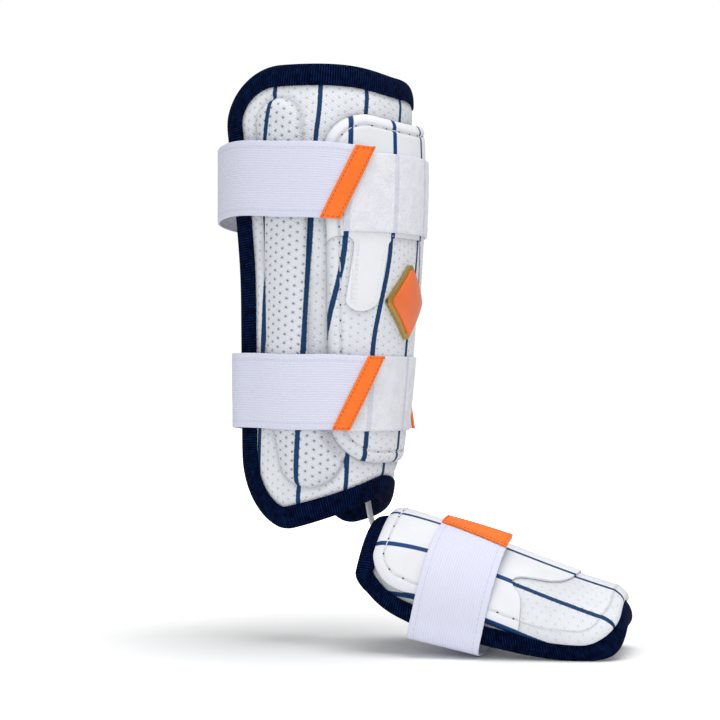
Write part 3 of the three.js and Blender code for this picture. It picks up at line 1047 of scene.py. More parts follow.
class Effects:
    """Effects that several finishes share, each a node group that is built once."""

    @staticmethod
    @cache
    def pinstripe() -> bpy.types.NodeTree:
        """Masks printed stripes that run along the pattern and may step aside lower down.

        Returns:
            The node group.
        """
        blur = 0.25 * MM
        names = ("Across", "Along", "Spacing", "Width", "Offset", "Shift", "Shift Top", "Shift End", "Jag")
        tree, given, put = new_group("pinstripe", names, ("Mask",))
        drop = tree.ease(given["Along"], given["Shift Top"], given["Shift End"])
        moved = tree.math("MULTIPLY_ADD", given["Shift"], drop, given["Across"])
        place = tree.add("ShaderNodeCombineXYZ")
        tree.feed(place.inputs["X"], given["Across"])
        tree.feed(place.inputs["Y"], given["Along"])
        ragged = tree.math("SUBTRACT", tree.noise(place.outputs[0], 700.0), 0.5)
        moved = tree.math("MULTIPLY_ADD", ragged, given["Jag"], moved)
        cell = tree.math("DIVIDE", tree.math("SUBTRACT", moved, given["Offset"]), given["Spacing"])
        part = tree.math("SUBTRACT", tree.math("FRACT", tree.math("ADD", cell, 0.5)), 0.5)
        away = tree.math("MULTIPLY", tree.math("ABSOLUTE", part), given["Spacing"])
        half = tree.math("MULTIPLY", given["Width"], 0.5)
        edge = tree.ease(away, tree.math("SUBTRACT", half, blur), tree.math("ADD", half, blur))
        tree.feed(put["Mask"], tree.inverse(edge))
        return tree.tree

    @staticmethod
    @cache
    def perforation() -> bpy.types.NodeTree:
        """Masks round holes in staggered rows, and the dimples round them.

        Returns:
            The node group.
        """
        names = ("Across", "Along", "Pitch Across", "Pitch Along", "Radius", "Tilt")
        tree, given, put = new_group("perforation", names, ("Hole", "Dimple"))
        level = tree.math("MULTIPLY_ADD", given["Across"], given["Tilt"], given["Along"])
        row = tree.math("DIVIDE", level, given["Pitch Along"])
        stagger = tree.math("MULTIPLY", tree.math("MODULO", tree.math("FLOOR", row), 2.0), 0.5)
        column = tree.math("ADD", tree.math("DIVIDE", given["Across"], given["Pitch Across"]), stagger)
        offsets = []
        for cell, pitch in ((column, "Pitch Across"), (row, "Pitch Along")):
            part = tree.math("SUBTRACT", tree.math("FRACT", cell), 0.5)
            offsets.append(tree.math("MULTIPLY", part, given[pitch]))
        square = tree.math("MULTIPLY_ADD", offsets[0], offsets[0], tree.math("POWER", offsets[1], 2.0))
        away = tree.math("SQRT", square)
        inner = tree.math("MULTIPLY", given["Radius"], 0.6)
        for name, reach in (("Hole", 1.25), ("Dimple", 2.6)):
            outer = tree.math("MULTIPLY", given["Radius"], reach)
            tree.feed(put[name], tree.inverse(tree.ease(away, inner, outer)))
        return tree.tree

    @staticmethod
    @cache
    def ribs() -> bpy.types.NodeTree:
        """Gives the height of rounded ribs that follow one another at a pitch.

        Returns:
            The node group.
        """
        tree, given, put = new_group("ribs", ("Along", "Pitch"), ("Height",))
        turn = tree.math("MULTIPLY", tree.math("DIVIDE", given["Along"], given["Pitch"]), math.pi)
        tree.feed(put["Height"], tree.math("ABSOLUTE", tree.math("SINE", turn)))
        return tree.tree

    @staticmethod
    def crossed(name: str, slants: Sequence[tuple[float, float]]) -> bpy.types.NodeTree:
        """Gives the height of two sets of threads that cross.

        Args:
            name: The group's name.
            slants: How much of the ways across and along each set follows.

        Returns:
            The node group.
        """
        tree, given, put = new_group(name, ("Across", "Along", "Pitch"), ("Height",))
        waves = []
        for across, along in slants:
            onward = tree.math("MULTIPLY", given["Along"], along)
            slant = tree.math("MULTIPLY_ADD", given["Across"], across, onward)
            turn = tree.math("MULTIPLY", tree.math("DIVIDE", slant, given["Pitch"]), math.pi)
            waves.append(tree.math("SINE", turn))
        tree.feed(put["Height"], tree.math("ABSOLUTE", tree.math("MULTIPLY", *waves)))
        return tree.tree

    @staticmethod
    @cache
    def knit() -> bpy.types.NodeTree:
        """Gives the height of a fine knit, whose loops cross in slanting rows."""
        return Effects.crossed("knit", ((0.62, 1.0), (-0.8, 1.0)))

    @staticmethod
    @cache
    def weave() -> bpy.types.NodeTree:
        """Gives the height of a plain weave."""
        return Effects.crossed("weave", ((1.0, 0.0), (0.0, 1.0)))

    @staticmethod
    @cache
    def grain() -> bpy.types.NodeTree:
        """Gives the height of leather grain, and a slow change of tone.

        Returns:
            The node group.
        """
        tree, given, put = new_group("grain", ("Scale",), ("Height", "Tone"))
        where = tree.add("ShaderNodeTexCoord").outputs["Object"]
        cells = tree.add("ShaderNodeTexVoronoi", feature="SMOOTH_F1")
        tree.feed(cells.inputs["Vector"], where)
        tree.feed(cells.inputs["Scale"], given["Scale"])
        fine = tree.noise(where, tree.math("MULTIPLY", given["Scale"], 2.3), 3.0)
        tree.feed(put["Height"], tree.math("MULTIPLY_ADD", fine, 0.4, cells.outputs["Distance"]))
        tree.feed(put["Tone"], tree.noise(where, 22.0, 3.0))
        return tree.tree

    @staticmethod
    @cache
    def nap() -> bpy.types.NodeTree:
        """Gives the height of short loose fibres, and their patchy tone.

        Returns:
            The node group.
        """
        tree, given, put = new_group("nap", ("Scale",), ("Height", "Tone"))
        where = tree.add("ShaderNodeTexCoord").outputs["Object"]
        tree.feed(put["Height"], tree.noise(where, given["Scale"], 4.0))
        tree.feed(put["Tone"], tree.noise(where, tree.math("MULTIPLY", given["Scale"], 0.12), 3.0))
        return tree.tree


# Finishes


def opaque(colour: Colour) -> tuple[float, float, float, float]:
    """Adds full cover to a colour."""
    return (*colour, 1.0)


class Look(NamedTuple):
    """A material in the making: its tree, its shader and the two coordinates of the pattern."""

    tree: Tree
    shader: bpy.types.Node
    across: Socket
    along: Socket


@dataclass(frozen=True)
class Stripes:
    """Printed pinstripes, in millimetres of the pattern.

    Attributes:
        shift: How far the stripes step aside lower down.
        shift_from: Where that step starts.
        shift_to: Where it ends.
        jag: How ragged the stripes' edges are.
    """

    spacing: float
    offset: float = 0.0
    width: float = 2.8
    shift: float = 0.0
    shift_from: float = 0.0
    shift_to: float = -1.0
    jag: float = 0.6
    colour: Colour = (0.012, 0.05, 0.2)
    strength: float = 1.0

    def print_on(self, look: Look, tone: object) -> Socket:
        """Prints the stripes on a colour.

        Args:
            look: The material.
            tone: The colour below.

        Returns:
            The printed colour.
        """
        node = look.tree.group(
            Effects.pinstripe(),
            Across=look.across,
            Along=look.along,
            Spacing=self.spacing * MM,
            Width=self.width * MM,
            Offset=self.offset * MM,
            Shift=self.shift * MM,
            Shift_Top=self.shift_from * MM,
            Shift_End=self.shift_to * MM,
            Jag=self.jag * MM,
        )
        mask = look.tree.math("MULTIPLY", node.outputs["Mask"], self.strength)
        return look.tree.mix(mask, tone, opaque(self.colour))


@dataclass(frozen=True)
class Finish:
    """A finish: its look is built by a subclass."""

    name: str
    colour: Colour
    roughness: float
    bump: float
    specular: float = 0.5

    @cache
    def material(self) -> bpy.types.Material:
        """Makes the finish's material, once.

        Returns:
            The material.
        """
        material = bpy.data.materials.new(self.name)
        material.use_nodes = True
        tree = Tree(material.node_tree)
        shader = material.node_tree.nodes["Principled BSDF"]
        shader.inputs["Roughness"].default_value = self.roughness
        shader.inputs["Specular IOR Level"].default_value = self.specular
        pattern = tree.add("ShaderNodeSeparateXYZ")
        tree.feed(pattern.inputs[0], tree.add("ShaderNodeTexCoord").outputs["UV"])
        self.build(Look(tree, shader, pattern.outputs["X"], pattern.outputs["Y"]))
        return material

    def dulled(self, share: float) -> tuple[float, float, float, float]:
        """Gives the main colour with a share of its brightness."""
        return opaque(tuple(share * part for part in self.colour))

    def paint(self, look: Look, colour: object, height: object) -> None:
        """Gives the shader its colour and its surface detail.

        Args:
            look: The material.
            colour: The colour over the surface.
            height: The height that shapes the normal.
        """
        bump = look.tree.add("ShaderNodeBump")
        bump.inputs["Strength"].default_value = 1.0
        bump.inputs["Distance"].default_value = self.bump * MM
        look.tree.feed(bump.inputs["Height"], height)
        look.tree.feed(look.shader.inputs["Normal"], bump.outputs["Normal"])
        look.tree.feed(look.shader.inputs["Base Color"], colour)

    def press(self, tree: Tree, tone: object) -> Socket:
        """Darkens a colour with painted shade where the piece's shade attribute marks a seam, a crease or an
        edge.
        """
        return tree.mix(tree.math("MULTIPLY", tree.mark("painted_shade"), 0.5), tone, self.dulled(0.4))

    def build(self, look: Look) -> None:
        """Builds the look of one material."""
        raise NotImplementedError


@dataclass(frozen=True)
class MeshCover(Finish):
    """A perforated cover with printed stripes, whose holes are deeper over raised foam."""

    specular: float = 0.15
    stripes: Stripes = Stripes(28.4)
    pitch: tuple[float, float] = (7.6, 2.6)
    tilt: float = 0.12
    hole: float = 0.6
    hole_colour: Colour = (0.1, 0.12, 0.16)
    hole_strength: tuple[float, float] = (0.34, 0.85)
    raised_colour: Colour = (0.72, 0.745, 0.79)
    knit: float = 1.7

    def build(self, look: Look) -> None:
        """Builds the perforated cover.

        Args:
            look: The material.
        """
        tree, _, across, along = look
        holes = tree.group(
            Effects.perforation(),
            Across=across,
            Along=along,
            Pitch_Across=self.pitch[0] * MM,
            Pitch_Along=self.pitch[1] * MM,
            Radius=self.hole * MM,
            Tilt=self.tilt,
        )
        raised = tree.mark("raised")
        flat, high = self.hole_strength
        strength = tree.math("MULTIPLY_ADD", raised, high - flat, flat)
        hole = tree.math("MULTIPLY", holes.outputs["Hole"], strength)
        dimple = tree.math("MULTIPLY", holes.outputs["Dimple"], strength)
        knit = tree.group(Effects.knit(), Across=across, Along=along, Pitch=self.knit * MM).outputs["Height"]
        grain = tree.group(Effects.grain(), Scale=900.0)
        worn = tree.ease(grain.outputs["Tone"], 0.35, 0.75)
        tone = tree.mix(worn, opaque(self.colour), self.dulled(0.86))
        tone = tree.mix(raised, tone, opaque(self.raised_colour))
        # painted shade in the knit's valleys and in the dimples round the holes
        valley_shade = tree.math("MULTIPLY", tree.inverse(knit), 0.1)
        tone = tree.mix(tree.math("MULTIPLY_ADD", dimple, 0.22, valley_shade), tone, opaque(self.hole_colour))
        # painted shade where the piece's shade attribute marks seams, creases and edges
        tone = self.press(tree, tree.mix(hole, tone, opaque(self.hole_colour)))
        cloth = tree.math("MULTIPLY_ADD", knit, 0.3, tree.math("MULTIPLY", grain.outputs["Height"], 0.25))
        self.paint(look, self.stripes.print_on(look, tone), tree.math("SUBTRACT", cloth, dimple))


@dataclass(frozen=True)
class Leather(Finish):
    """A smooth synthetic leather, plain or with printed stripes."""

    specular: float = 0.13
    stripes: Stripes | None = None
    grain: float = 900.0
    uneven: tuple[float, float] = (0.06, 0.08)

    def build(self, look: Look) -> None:
        """Builds the leather.

        Args:
            look: The material.
        """
        tree = look.tree
        grain = tree.group(Effects.grain(), Scale=self.grain)
        tone = tree.mix(tree.ease(grain.outputs["Tone"], 0.35, 0.75), opaque(self.colour), self.dulled(0.9))
        # painted shade where the piece's shade attribute marks seams, creases and edges
        tone = self.press(tree, tone)
        if self.stripes:
            tone = self.stripes.print_on(look, tone)
        below, above = self.uneven
        height = grain.outputs["Height"]
        rough = tree.math("MULTIPLY_ADD", height, below + above, self.roughness - below)
        tree.feed(look.shader.inputs["Roughness"], rough)
        self.paint(look, tone, height)


@dataclass(frozen=True)
class Grosgrain(Finish):
    """A ribbed tape, with its ribs across the tape."""

    specular: float = 0.02
    pitch: float = 1.5
    weave: float = 0.5
    # painted highlight: the brighter colour on the ribs' crests
    crest_light: Colour = (0.005, 0.022, 0.1)

    def build(self, look: Look) -> None:
        """Builds the ribbed tape.

        Args:
            look: The material.
        """
        tree, _, along, around = look
        rib = tree.group(Effects.ribs(), Along=along, Pitch=self.pitch * MM).outputs["Height"]
        weave = tree.group(Effects.weave(), Across=along, Along=around, Pitch=self.weave * MM)
        patchy = tree.group(Effects.nap(), Scale=2500.0).outputs["Tone"]
        # painted highlight on the rib crests, in patches
        crest_light = tree.math("MULTIPLY", tree.ease(rib, 0.55, 1.0), tree.ease(patchy, 0.25, 0.8))
        tone = tree.mix(crest_light, opaque(self.colour), opaque(self.crest_light))
        self.paint(look, tone, tree.math("MULTIPLY_ADD", weave.outputs["Height"], 0.15, rib))


@dataclass(frozen=True)
class Elastic(Finish):
    """A woven elastic with fine ribs along it, and a smoother edge on both sides."""

    middle: float = 0.0
    half: float = 22.0
    pitch: float = 1.45
    weave: float = 0.7
    edge: float = 3.7
    stitch: float = 2.6
    # painted shade: the darker colour in the valleys between the ribs and in the stitch groove
    valley_shade: Colour = (0.59, 0.605, 0.735)

    def build(self, look: Look) -> None:
        """Builds the elastic.

        Args:
            look: The material.
        """
        tree, shader, along, height = look
        off = tree.math("SUBTRACT", height, self.middle * MM)
        rib = tree.group(Effects.ribs(), Along=off, Pitch=self.pitch * MM).outputs["Height"]
        weave = tree.group(Effects.weave(), Across=along, Along=off, Pitch=self.weave * MM).outputs["Height"]
        fuzz = tree.math("SUBTRACT", tree.group(Effects.nap(), Scale=1800.0).outputs["Height"], 0.5)
        side = tree.math("ABSOLUTE", off)
        inner = (self.half - self.edge) * MM
        edge = tree.ease(side, inner - 0.2 * MM, inner + 0.2 * MM)
        beside = tree.math("ABSOLUTE", tree.math("SUBTRACT", side, inner))
        line = tree.inverse(tree.ease(beside, 0.15 * MM, 0.6 * MM))
        sewn = tree.group(Effects.ribs(), Along=along, Pitch=self.stitch * MM).outputs["Height"]
        groove = tree.math("MULTIPLY", line, tree.ease(sewn, 0.25, 0.6))
        ribbed = tree.math("MULTIPLY", rib, tree.math("MULTIPLY_ADD", edge, -0.75, 1.0))
        # painted light and shade: crests and the smooth edges take the main colour, the rib valleys and the
        # stitch groove take the shaded one
        crest_light = tree.math("MULTIPLY_ADD", edge, 0.35, tree.math("MULTIPLY_ADD", ribbed, 0.8, 0.1))
        crest_light = tree.math("SUBTRACT", crest_light, tree.math("MULTIPLY", groove, 0.8))
        crest_light = tree.math("MULTIPLY_ADD", fuzz, 0.5, crest_light)
        raised = tree.math("MULTIPLY_ADD", weave, 0.3, tree.math("SUBTRACT", ribbed, groove))
        self.paint(look, tree.mix(crest_light, opaque(self.valley_shade), opaque(self.colour)), raised)
        shader.inputs["Sheen Weight"].default_value = 0.1


@dataclass(frozen=True)
class Pile(Finish):
    """A fuzzy loop pile, through which the stripes below show faintly."""

    specular: float = 0.1
    stripes: Stripes = Stripes(25.6)
    shade: Colour = (0.7, 0.71, 0.76)

    def build(self, look: Look) -> None:
        """Builds the pile.

        Args:
            look: The material.
        """
        tree = look.tree
        nap = tree.group(Effects.nap(), Scale=1100.0)
        height, patchy = nap.outputs["Height"], nap.outputs["Tone"]
        depth = tree.math("MULTIPLY_ADD", patchy, 0.6, tree.math("MULTIPLY", height, 0.6))
        tone = tree.mix(tree.ease(depth, 0.46, 0.74), opaque(self.shade), opaque(self.colour))
        self.paint(look, self.stripes.print_on(look, tone), tree.math("MULTIPLY_ADD", patchy, 2.5, height))


@dataclass(frozen=True)
class Moulded(Finish):
    """A glossy moulded plastic with a faint unevenness."""

    metallic: float = 0.0
    coat: float = 0.4
    coat_roughness: float = 0.12

    def build(self, look: Look) -> None:
        """Builds the plastic.

        Args:
            look: The material.
        """
        tree, shader, _, _ = look
        grain = tree.group(Effects.grain(), Scale=350.0)
        tone = tree.mix(tree.ease(grain.outputs["Tone"], 0.3, 0.7), opaque(self.colour), self.dulled(0.82))
        shader.inputs["Metallic"].default_value = self.metallic
        shader.inputs["Coat Weight"].default_value = self.coat
        shader.inputs["Coat Roughness"].default_value = self.coat_roughness
        self.paint(look, tone, grain.outputs["Height"])


@dataclass(frozen=True)
class Twine(Finish):
    """A twisted sewing thread."""

    def build(self, look: Look) -> None:
        """Builds the thread.

        Args:
            look: The material.
        """
        height = look.tree.group(Effects.nap(), Scale=3000.0).outputs["Height"]
        tone = look.tree.mix(look.tree.ease(height, 0.35, 0.65), self.dulled(0.75), opaque(self.colour))
        self.paint(look, tone, height)


WHITE: Colour = (0.84, 0.86, 0.9)
# painted shade: the mesh white, darkened for the foot guard's covers
FOOT_WHITE_SHADED: Colour = (0.79, 0.81, 0.85)
ELASTIC_WHITE: Colour = (0.7, 0.715, 0.845)
LEATHER_WHITE: Colour = (0.775, 0.79, 0.82)
NAVY: Colour = (0.0007, 0.0018, 0.011)
ORANGE: Colour = (0.95, 0.19, 0.028)
PRINT: Colour = (0.007, 0.042, 0.125)
BRIGHT_PRINT: Colour = (0.004, 0.043, 0.165)

SHIN_STRIPES = Stripes(28.4, shift=1.5, shift_from=112, shift_to=85, colour=PRINT)
PLATE_STRIPES = Stripes(25.6, offset=11.4, shift=7.3, shift_from=30, shift_to=-35, colour=PRINT)
OVERLAY_STRIPES = replace(PLATE_STRIPES, jag=0.1, width=2.6, colour=BRIGHT_PRINT)
BAND_STRIPES = replace(PLATE_STRIPES, jag=1.5, strength=0.16, colour=Stripes.colour)
FOOT_STRIPES = Stripes(25.2, offset=-11.0, width=2.5, shift=2.0, shift_from=45, shift_to=5, colour=PRINT)
FOOT_OVERLAY_STRIPES = replace(FOOT_STRIPES, jag=0.1, width=2.6, colour=BRIGHT_PRINT)

SHIN_COVER = MeshCover("shin_cover", WHITE, 0.62, 0.5, stripes=SHIN_STRIPES)
PLATE_COVER = MeshCover("plate_cover", WHITE, 0.6, 0.4, stripes=PLATE_STRIPES, hole_strength=(0.22, 0.4))
FOOT_COVER = MeshCover("foot_cover", FOOT_WHITE_SHADED, 0.6, 0.4, stripes=FOOT_STRIPES, hole_strength=(0.15, 0.3))
PLATE_LEATHER = Leather("plate_leather", LEATHER_WHITE, 0.42, 0.08, stripes=OVERLAY_STRIPES)
FOOT_LEATHER = Leather("foot_leather", LEATHER_WHITE, 0.42, 0.08, stripes=FOOT_OVERLAY_STRIPES)
TAB_LEATHER = Leather("tab_leather", ORANGE, 0.5, 0.08, grain=1300.0)
TAPE = Grosgrain("binding_tape", NAVY, 0.75, 0.35)
LINING = Grosgrain("lining_cloth", NAVY, 0.9, 0.12, pitch=1.1)
LOOP_PILE = Pile("band_pile", (0.775, 0.785, 0.835), 0.95, 0.4, stripes=BAND_STRIPES)
# its second colour is painted shade in the valleys between its ribs
LINK_ELASTIC = Elastic(
    "link_elastic", (0.7, 0.71, 0.75), 0.85, 0.15, half=2.5, pitch=0.9, edge=0.6, valley_shade=(0.56, 0.57, 0.62)
)
BADGE_ENAMEL = Moulded("badge_enamel", (0.95, 0.17, 0.025), 0.32, 0.04, coat=0.5)
BADGE_GOLD = Moulded("badge_gold", (0.55, 0.36, 0.09), 0.3, 0.03, metallic=0.85)
WHITE_THREAD = Twine("white_thread", (0.8, 0.82, 0.86), 0.8, 0.06)
SHADOW_THREAD = Twine("shadow_thread", (0.05, 0.052, 0.06), 0.85, 0.05)
ORANGE_THREAD = Twine("orange_thread", (0.62, 0.07, 0.012), 0.75, 0.06)


def dress(piece: Piece, finish: Finish, slot: str, *nodes: str, angle: float = 40.0) -> None:
    """Gives a finished piece its shading, its material, its body and the solids that it stands for.

    Args:
        piece: The piece.
        finish: Its finish.
        slot: The name of a material slot; not used.
        *nodes: The solids that it stands for, if any.
        angle: Degrees past which an edge is shaded sharp.
    """
    activate(piece)
    bpy.ops.object.shade_smooth_by_angle(angle=math.radians(angle))
    piece.data.materials.clear()
    piece.data.materials.append(finish.material())
    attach(piece, BODY)
    if nodes:
        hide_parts(*nodes)
    LOG.info("%s: %d faces", piece.name, len(piece.data.polygons))


# Sewing


@dataclass(frozen=True)
class Thread:
    """A row of sewn stitches."""

    length: float
    pitch: float
    thickness: float
    finish: Finish
    slot: str
    sunk: float = 0.35

    def sew(self, name: str, form: Form, path: Values, face: Relief) -> None:
        """Sews stitches along a path on a face, as one piece.

        Args:
            name: The piece's name.
            form: The form that the face lies on.
            path: The path in pattern coordinates, one row for each point.
            face: How far the face stands off the form.
        """
        ball = bpy.ops.mesh.primitive_uv_sphere_add
        piece = start(name, ball, segments=8, ring_count=5, radius=0.5)
        stitch = read_vectors(piece)[:, [2, 1, 0]] * (self.length, self.thickness, self.thickness)
        faces = [tuple(reversed(polygon.vertices)) for polygon in piece.data.polygons]
        points, polygons = [], []
        for middle, ahead in self.marks(path):
            here = form.place(*middle.T, face(*middle.T)) / MM
            out = form.place(*middle.T, face(*middle.T) + 1) / MM - here
            run = unit(form.place(*ahead.T, face(*ahead.T)) / MM - here)
            out = unit(out - run * np.sum(run * out))
            frame = np.vstack([run, np.cross(out, run), out])
            lift = out * self.thickness * (0.5 - self.sunk)
            polygons += [tuple(len(points) * len(stitch) + k for k in corners) for corners in faces]
            points.append((stitch @ frame + here + lift) * MM)
        mesh = bpy.data.meshes.new(name)
        mesh.from_pydata(np.vstack(points).tolist(), [], polygons)
        mesh.update()
        spare = piece.data
        piece.data = mesh
        bpy.data.meshes.remove(spare)
        dress(piece, self.finish, self.slot)

    def marks(self, path: Values) -> list[list[Values]]:
        """Finds the stitches' places.

        Args:
            path: The path in pattern coordinates, one row for each point.

        Returns:
            Each stitch's middle and a place just ahead of it, as single rows.
        """
        run = walked(path)
        count = int(run[-1] // self.pitch)
        return [
            [np.array([[np.interp(at + step, run, way) for way in path.T]]) for step in (0, AHEAD_STEP)]
            for at in (np.arange(count) + 0.5) * run[-1] / count
        ]


BORDER_THREAD = Thread(6.4, 9.0, 0.7, WHITE_THREAD, "white_leather")
NEEDLE_HOLES = Thread(1.5, 9.0, 1.1, SHADOW_THREAD, "white_leather", sunk=0.6)
OVERLAY_THREAD = Thread(1.5, 2.8, 0.45, WHITE_THREAD, "white_leather")
TAG_THREAD = Thread(1.5, 2.5, 0.5, ORANGE_THREAD, "orange_tab")


# Padded pieces


@dataclass(frozen=True)
class Layer:
    """A piece that stands for one solid."""

    name: str
    node: str
    finish: Finish


@dataclass(frozen=True)
class Cover(Layer):
    """The cover of a padded piece.

    Attributes:
        cap: How far it may swell.
        gather: How strongly its faces gather towards its edges, across and along.
    """

    grid: tuple[int, int]
    cap: float
    fill: float
    angle: float = 60.0
    gather: tuple[float, float] = (0.0, 0.0)


@dataclass(kw_only=True)
class PaddedPiece:
    """A foam piece in a sewn cover."""

    form: Form
    cover: Cover
    outline: Outline = field(init=False)

    def __post_init__(self) -> None:
        """Works out the outline."""
        self.outline = Outline.of_patch(self.patch, OUTLINE_STEP)

    def patch(self, s: Values, t: Values) -> tuple[Values, Values]:
        """Gives the pattern, over shares across from -1 to 1 and along from 0 to 1."""
        raise NotImplementedError

    def back(self) -> float:
        """Gives the stand of the piece's back."""
        raise NotImplementedError

    def face(self, u: Values, v: Values) -> Values:
        """Gives the stand of the piece's face."""
        raise NotImplementedError

    def held(self, u: Values, v: Values) -> Values:
        """Tells where the face can't swell."""
        raise NotImplementedError

    def seam(self, u: Values, v: Values) -> Values:
        """Gives how deep seams and creases press the face in."""
        return 0 * u

    def raised(self, u: Values, v: Values) -> Values:
        """Tells where raised foam stretches the cover."""
        return 0 * u

    def painted_shade(self, u: Values, v: Values) -> Values:
        """Tells where painted shade darkens the cover."""
        raise NotImplementedError

    def gathered(self, s: Values, t: Values) -> tuple[Values, Values]:
        """Gives the pattern with its faces gathered towards its edges.

        Args:
            s: Shares across.
            t: Shares along.

        Returns:
            The pattern's coordinates.
        """
        across, along = self.cover.gather
        s = np.sin(s * math.pi / 2) * across + s * (1 - across)
        return self.patch(s, (1 - np.cos(t * math.pi)) / 2 * along + t * (1 - along))

    def build_cover(self) -> None:
        """Makes the cover, swells it over its foam and presses its seams in."""
        cover, back = self.cover, self.back()
        piece = cut_grid(cover.name, *cover.grid, self.gathered)
        thicken(piece, 1.0)
        wrap(piece, self.form, lambda u, v, height: back + height * (self.face(u, v) - back))
        behind = read_attribute(piece, "side") < 0.5
        Swell(cover.cap).run(piece, self.held(*read_pattern(piece)) | behind)
        apply_modifier(piece, "SUBSURF", levels=1, render_levels=1, uv_smooth="NONE")
        pattern = read_pattern(piece)
        front = np.clip(2 * read_attribute(piece, "side") - 1, 0, 1)
        press = self.seam(*pattern) * front * MM
        write_points(piece, read_vectors(piece) - read_vectors(piece, "normal") * press[:, None])
        write_attribute(piece, "raised", self.raised(*pattern))
        # painted shade along seams, creases and edges, which the finishes darken the colour with
        write_attribute(piece, "painted_shade", self.painted_shade(*pattern))
        dress(piece, cover.finish, "white_mesh", cover.node, angle=cover.angle)


@dataclass(kw_only=True)
class PaddedPlate(PaddedPiece):
    """A raised plate with a rolled edge, a sewn border and a smooth overlay on one end.

    Attributes:
        overlay_side: The sign of the way on which it lies from there.
        tongue_lean: How far a tongue leans out for each millimetre down.
        edge_shade: Reach and strength of the shade along the overlay's edge.
    """

    gap: float
    edge_roll: float = 6.0
    edge_height: float = 0.3
    seam_inset: float = 6.6
    seam_width: float
    seam_depth: float
    seam_margin: float = 2.0
    overlay: Layer
    overlay_lift: float = 0.35
    overlay_thickness: float
    overlay_inset: float = 0.5
    overlay_edge: float
    overlay_side: int
    overlay_cell: float
    overlay_samples: int
    overlay_step: float = 1.4
    tongue_lean: float = 0.0
    edge_shade: tuple[float, float] = (1.6, 0.7)
    border: tuple[str, str]
    overlay_outline: Outline = field(init=False)

    def __post_init__(self) -> None:
        """Works out the outlines of the plate and of its overlay."""
        super().__post_init__()
        self.overlay_outline = self.draw_overlay()

    def crown(self, u: Values, v: Values) -> Values:
        """Gives the plate's height without its rolled edge."""
        raise NotImplementedError

    def free_edge(self, u: Values) -> Values:
        """Gives where the overlay ends along the plate, by the place across it."""
        raise NotImplementedError

    def back(self) -> float:
        """Gives the stand of the plate's back."""
        return self.gap

    def face(self, u: Values, v: Values) -> Values:
        """Gives the stand of the plate's face, with its rolled edge.

        Args:
            u: Places across.
            v: Places along.

        Returns:
            The face's distance off the pad.
        """
        share = np.clip(self.outline.distance(u, v) / self.edge_roll, 0, 1)
        roll = self.edge_height + (1 - self.edge_height) * np.sqrt(1 - (1 - share) ** 2)
        return self.gap + self.crown(u, v) * roll

    def seam(self, u: Values, v: Values) -> Values:
        """Gives how deep the border seam presses the face in."""
        return self.seam_depth * bell(self.outline.distance(u, v) - self.seam_inset, self.seam_width)

    def seam_shade(self, u: Values, v: Values) -> Values:
        """Tells how dark the border seam looks."""
        return (self.seam(u, v) / self.seam_depth) ** 3

    def held(self, u: Values, v: Values) -> Values:
        """Tells where the face can't swell: outside the border seam."""
        return self.outline.distance(u, v) < self.seam_inset + self.seam_margin

    def painted_shade(self, u: Values, v: Values) -> Values:
        """Tells where painted shade darkens the cover: along the border seam and the overlay's edge."""
        reach, strength = self.edge_shade
        edge = np.exp(-self.overlay_outline.distance(u, v) / reach)
        return np.maximum(self.seam_shade(u, v), strength * edge)

    def sewn_face(self, u: Values, v: Values, lift: Values) -> Values:
        """Gives the stand of what lies a lift above the face, where the seam draws it down."""
        return self.face(u, v) - self.seam(u, v) + lift

    def topmost(self, u: Values, v: Values) -> Values:
        """Gives the stand of the border, which lies on the overlay where there is one."""
        covered = self.overlay_side * (v - self.overlay_edge) > 0
        return self.sewn_face(u, v, np.where(covered, self.overlay_lift + self.overlay_thickness, 0.0))

    def draw_overlay(self) -> Outline:
        """Draws the overlay: the plate's own edge at the back, and its tongues in front.

        Returns:
            The overlay's outline.
        """
        inner = self.outline.inset(self.overlay_inset).points
        behind = inner[self.overlay_side * (inner[:, 1] - self.overlay_edge) > 0]
        turn = np.argmax(np.abs(np.diff(behind, axis=0, append=behind[:1])).sum(1))
        behind = np.roll(behind, -turn - 1, axis=0)
        reach = np.abs(behind[0, 0]) * np.sign(behind[-1, 0])
        u = np.linspace(reach, -reach, self.overlay_samples)
        v = self.free_edge(u)
        leaning = u + np.sign(u) * self.tongue_lean * (self.overlay_edge - v)
        front = np.column_stack([leaning, v])[1:-1]
        return Outline(np.vstack([behind, front])).spaced(self.overlay_step)

    def build_overlay(self) -> None:
        """Makes the smooth overlay."""
        piece = cut_outline(self.overlay.name, self.overlay_outline, self.overlay_cell)
        apply_modifier(piece, "SUBSURF", subdivision_type="SIMPLE", levels=1, render_levels=1)
        thicken(piece, self.overlay_thickness)
        wrap(piece, self.form, lambda u, v, height: self.sewn_face(u, v, self.overlay_lift + height))
        # painted shade along the border seam
        write_attribute(piece, "painted_shade", self.seam_shade(*read_pattern(piece)))
        dress(piece, self.overlay.finish, "white_leather", self.overlay.node, angle=50)

    def sew_border(self) -> None:
        """Sews the border seam, with a dark needle hole between its stitches."""
        line = self.outline.inset(self.seam_inset).spaced(1.0).points
        thread, holes = self.border
        BORDER_THREAD.sew(thread, self.form, ring(line), self.topmost)
        between = round(BORDER_THREAD.pitch / 2)
        NEEDLE_HOLES.sew(holes, self.form, ring(np.roll(line, -between, axis=0)), self.topmost)

    def build(self) -> None:
        """Makes the plate, its overlay and its border."""
        self.build_cover()
        self.build_overlay()
        self.sew_border()


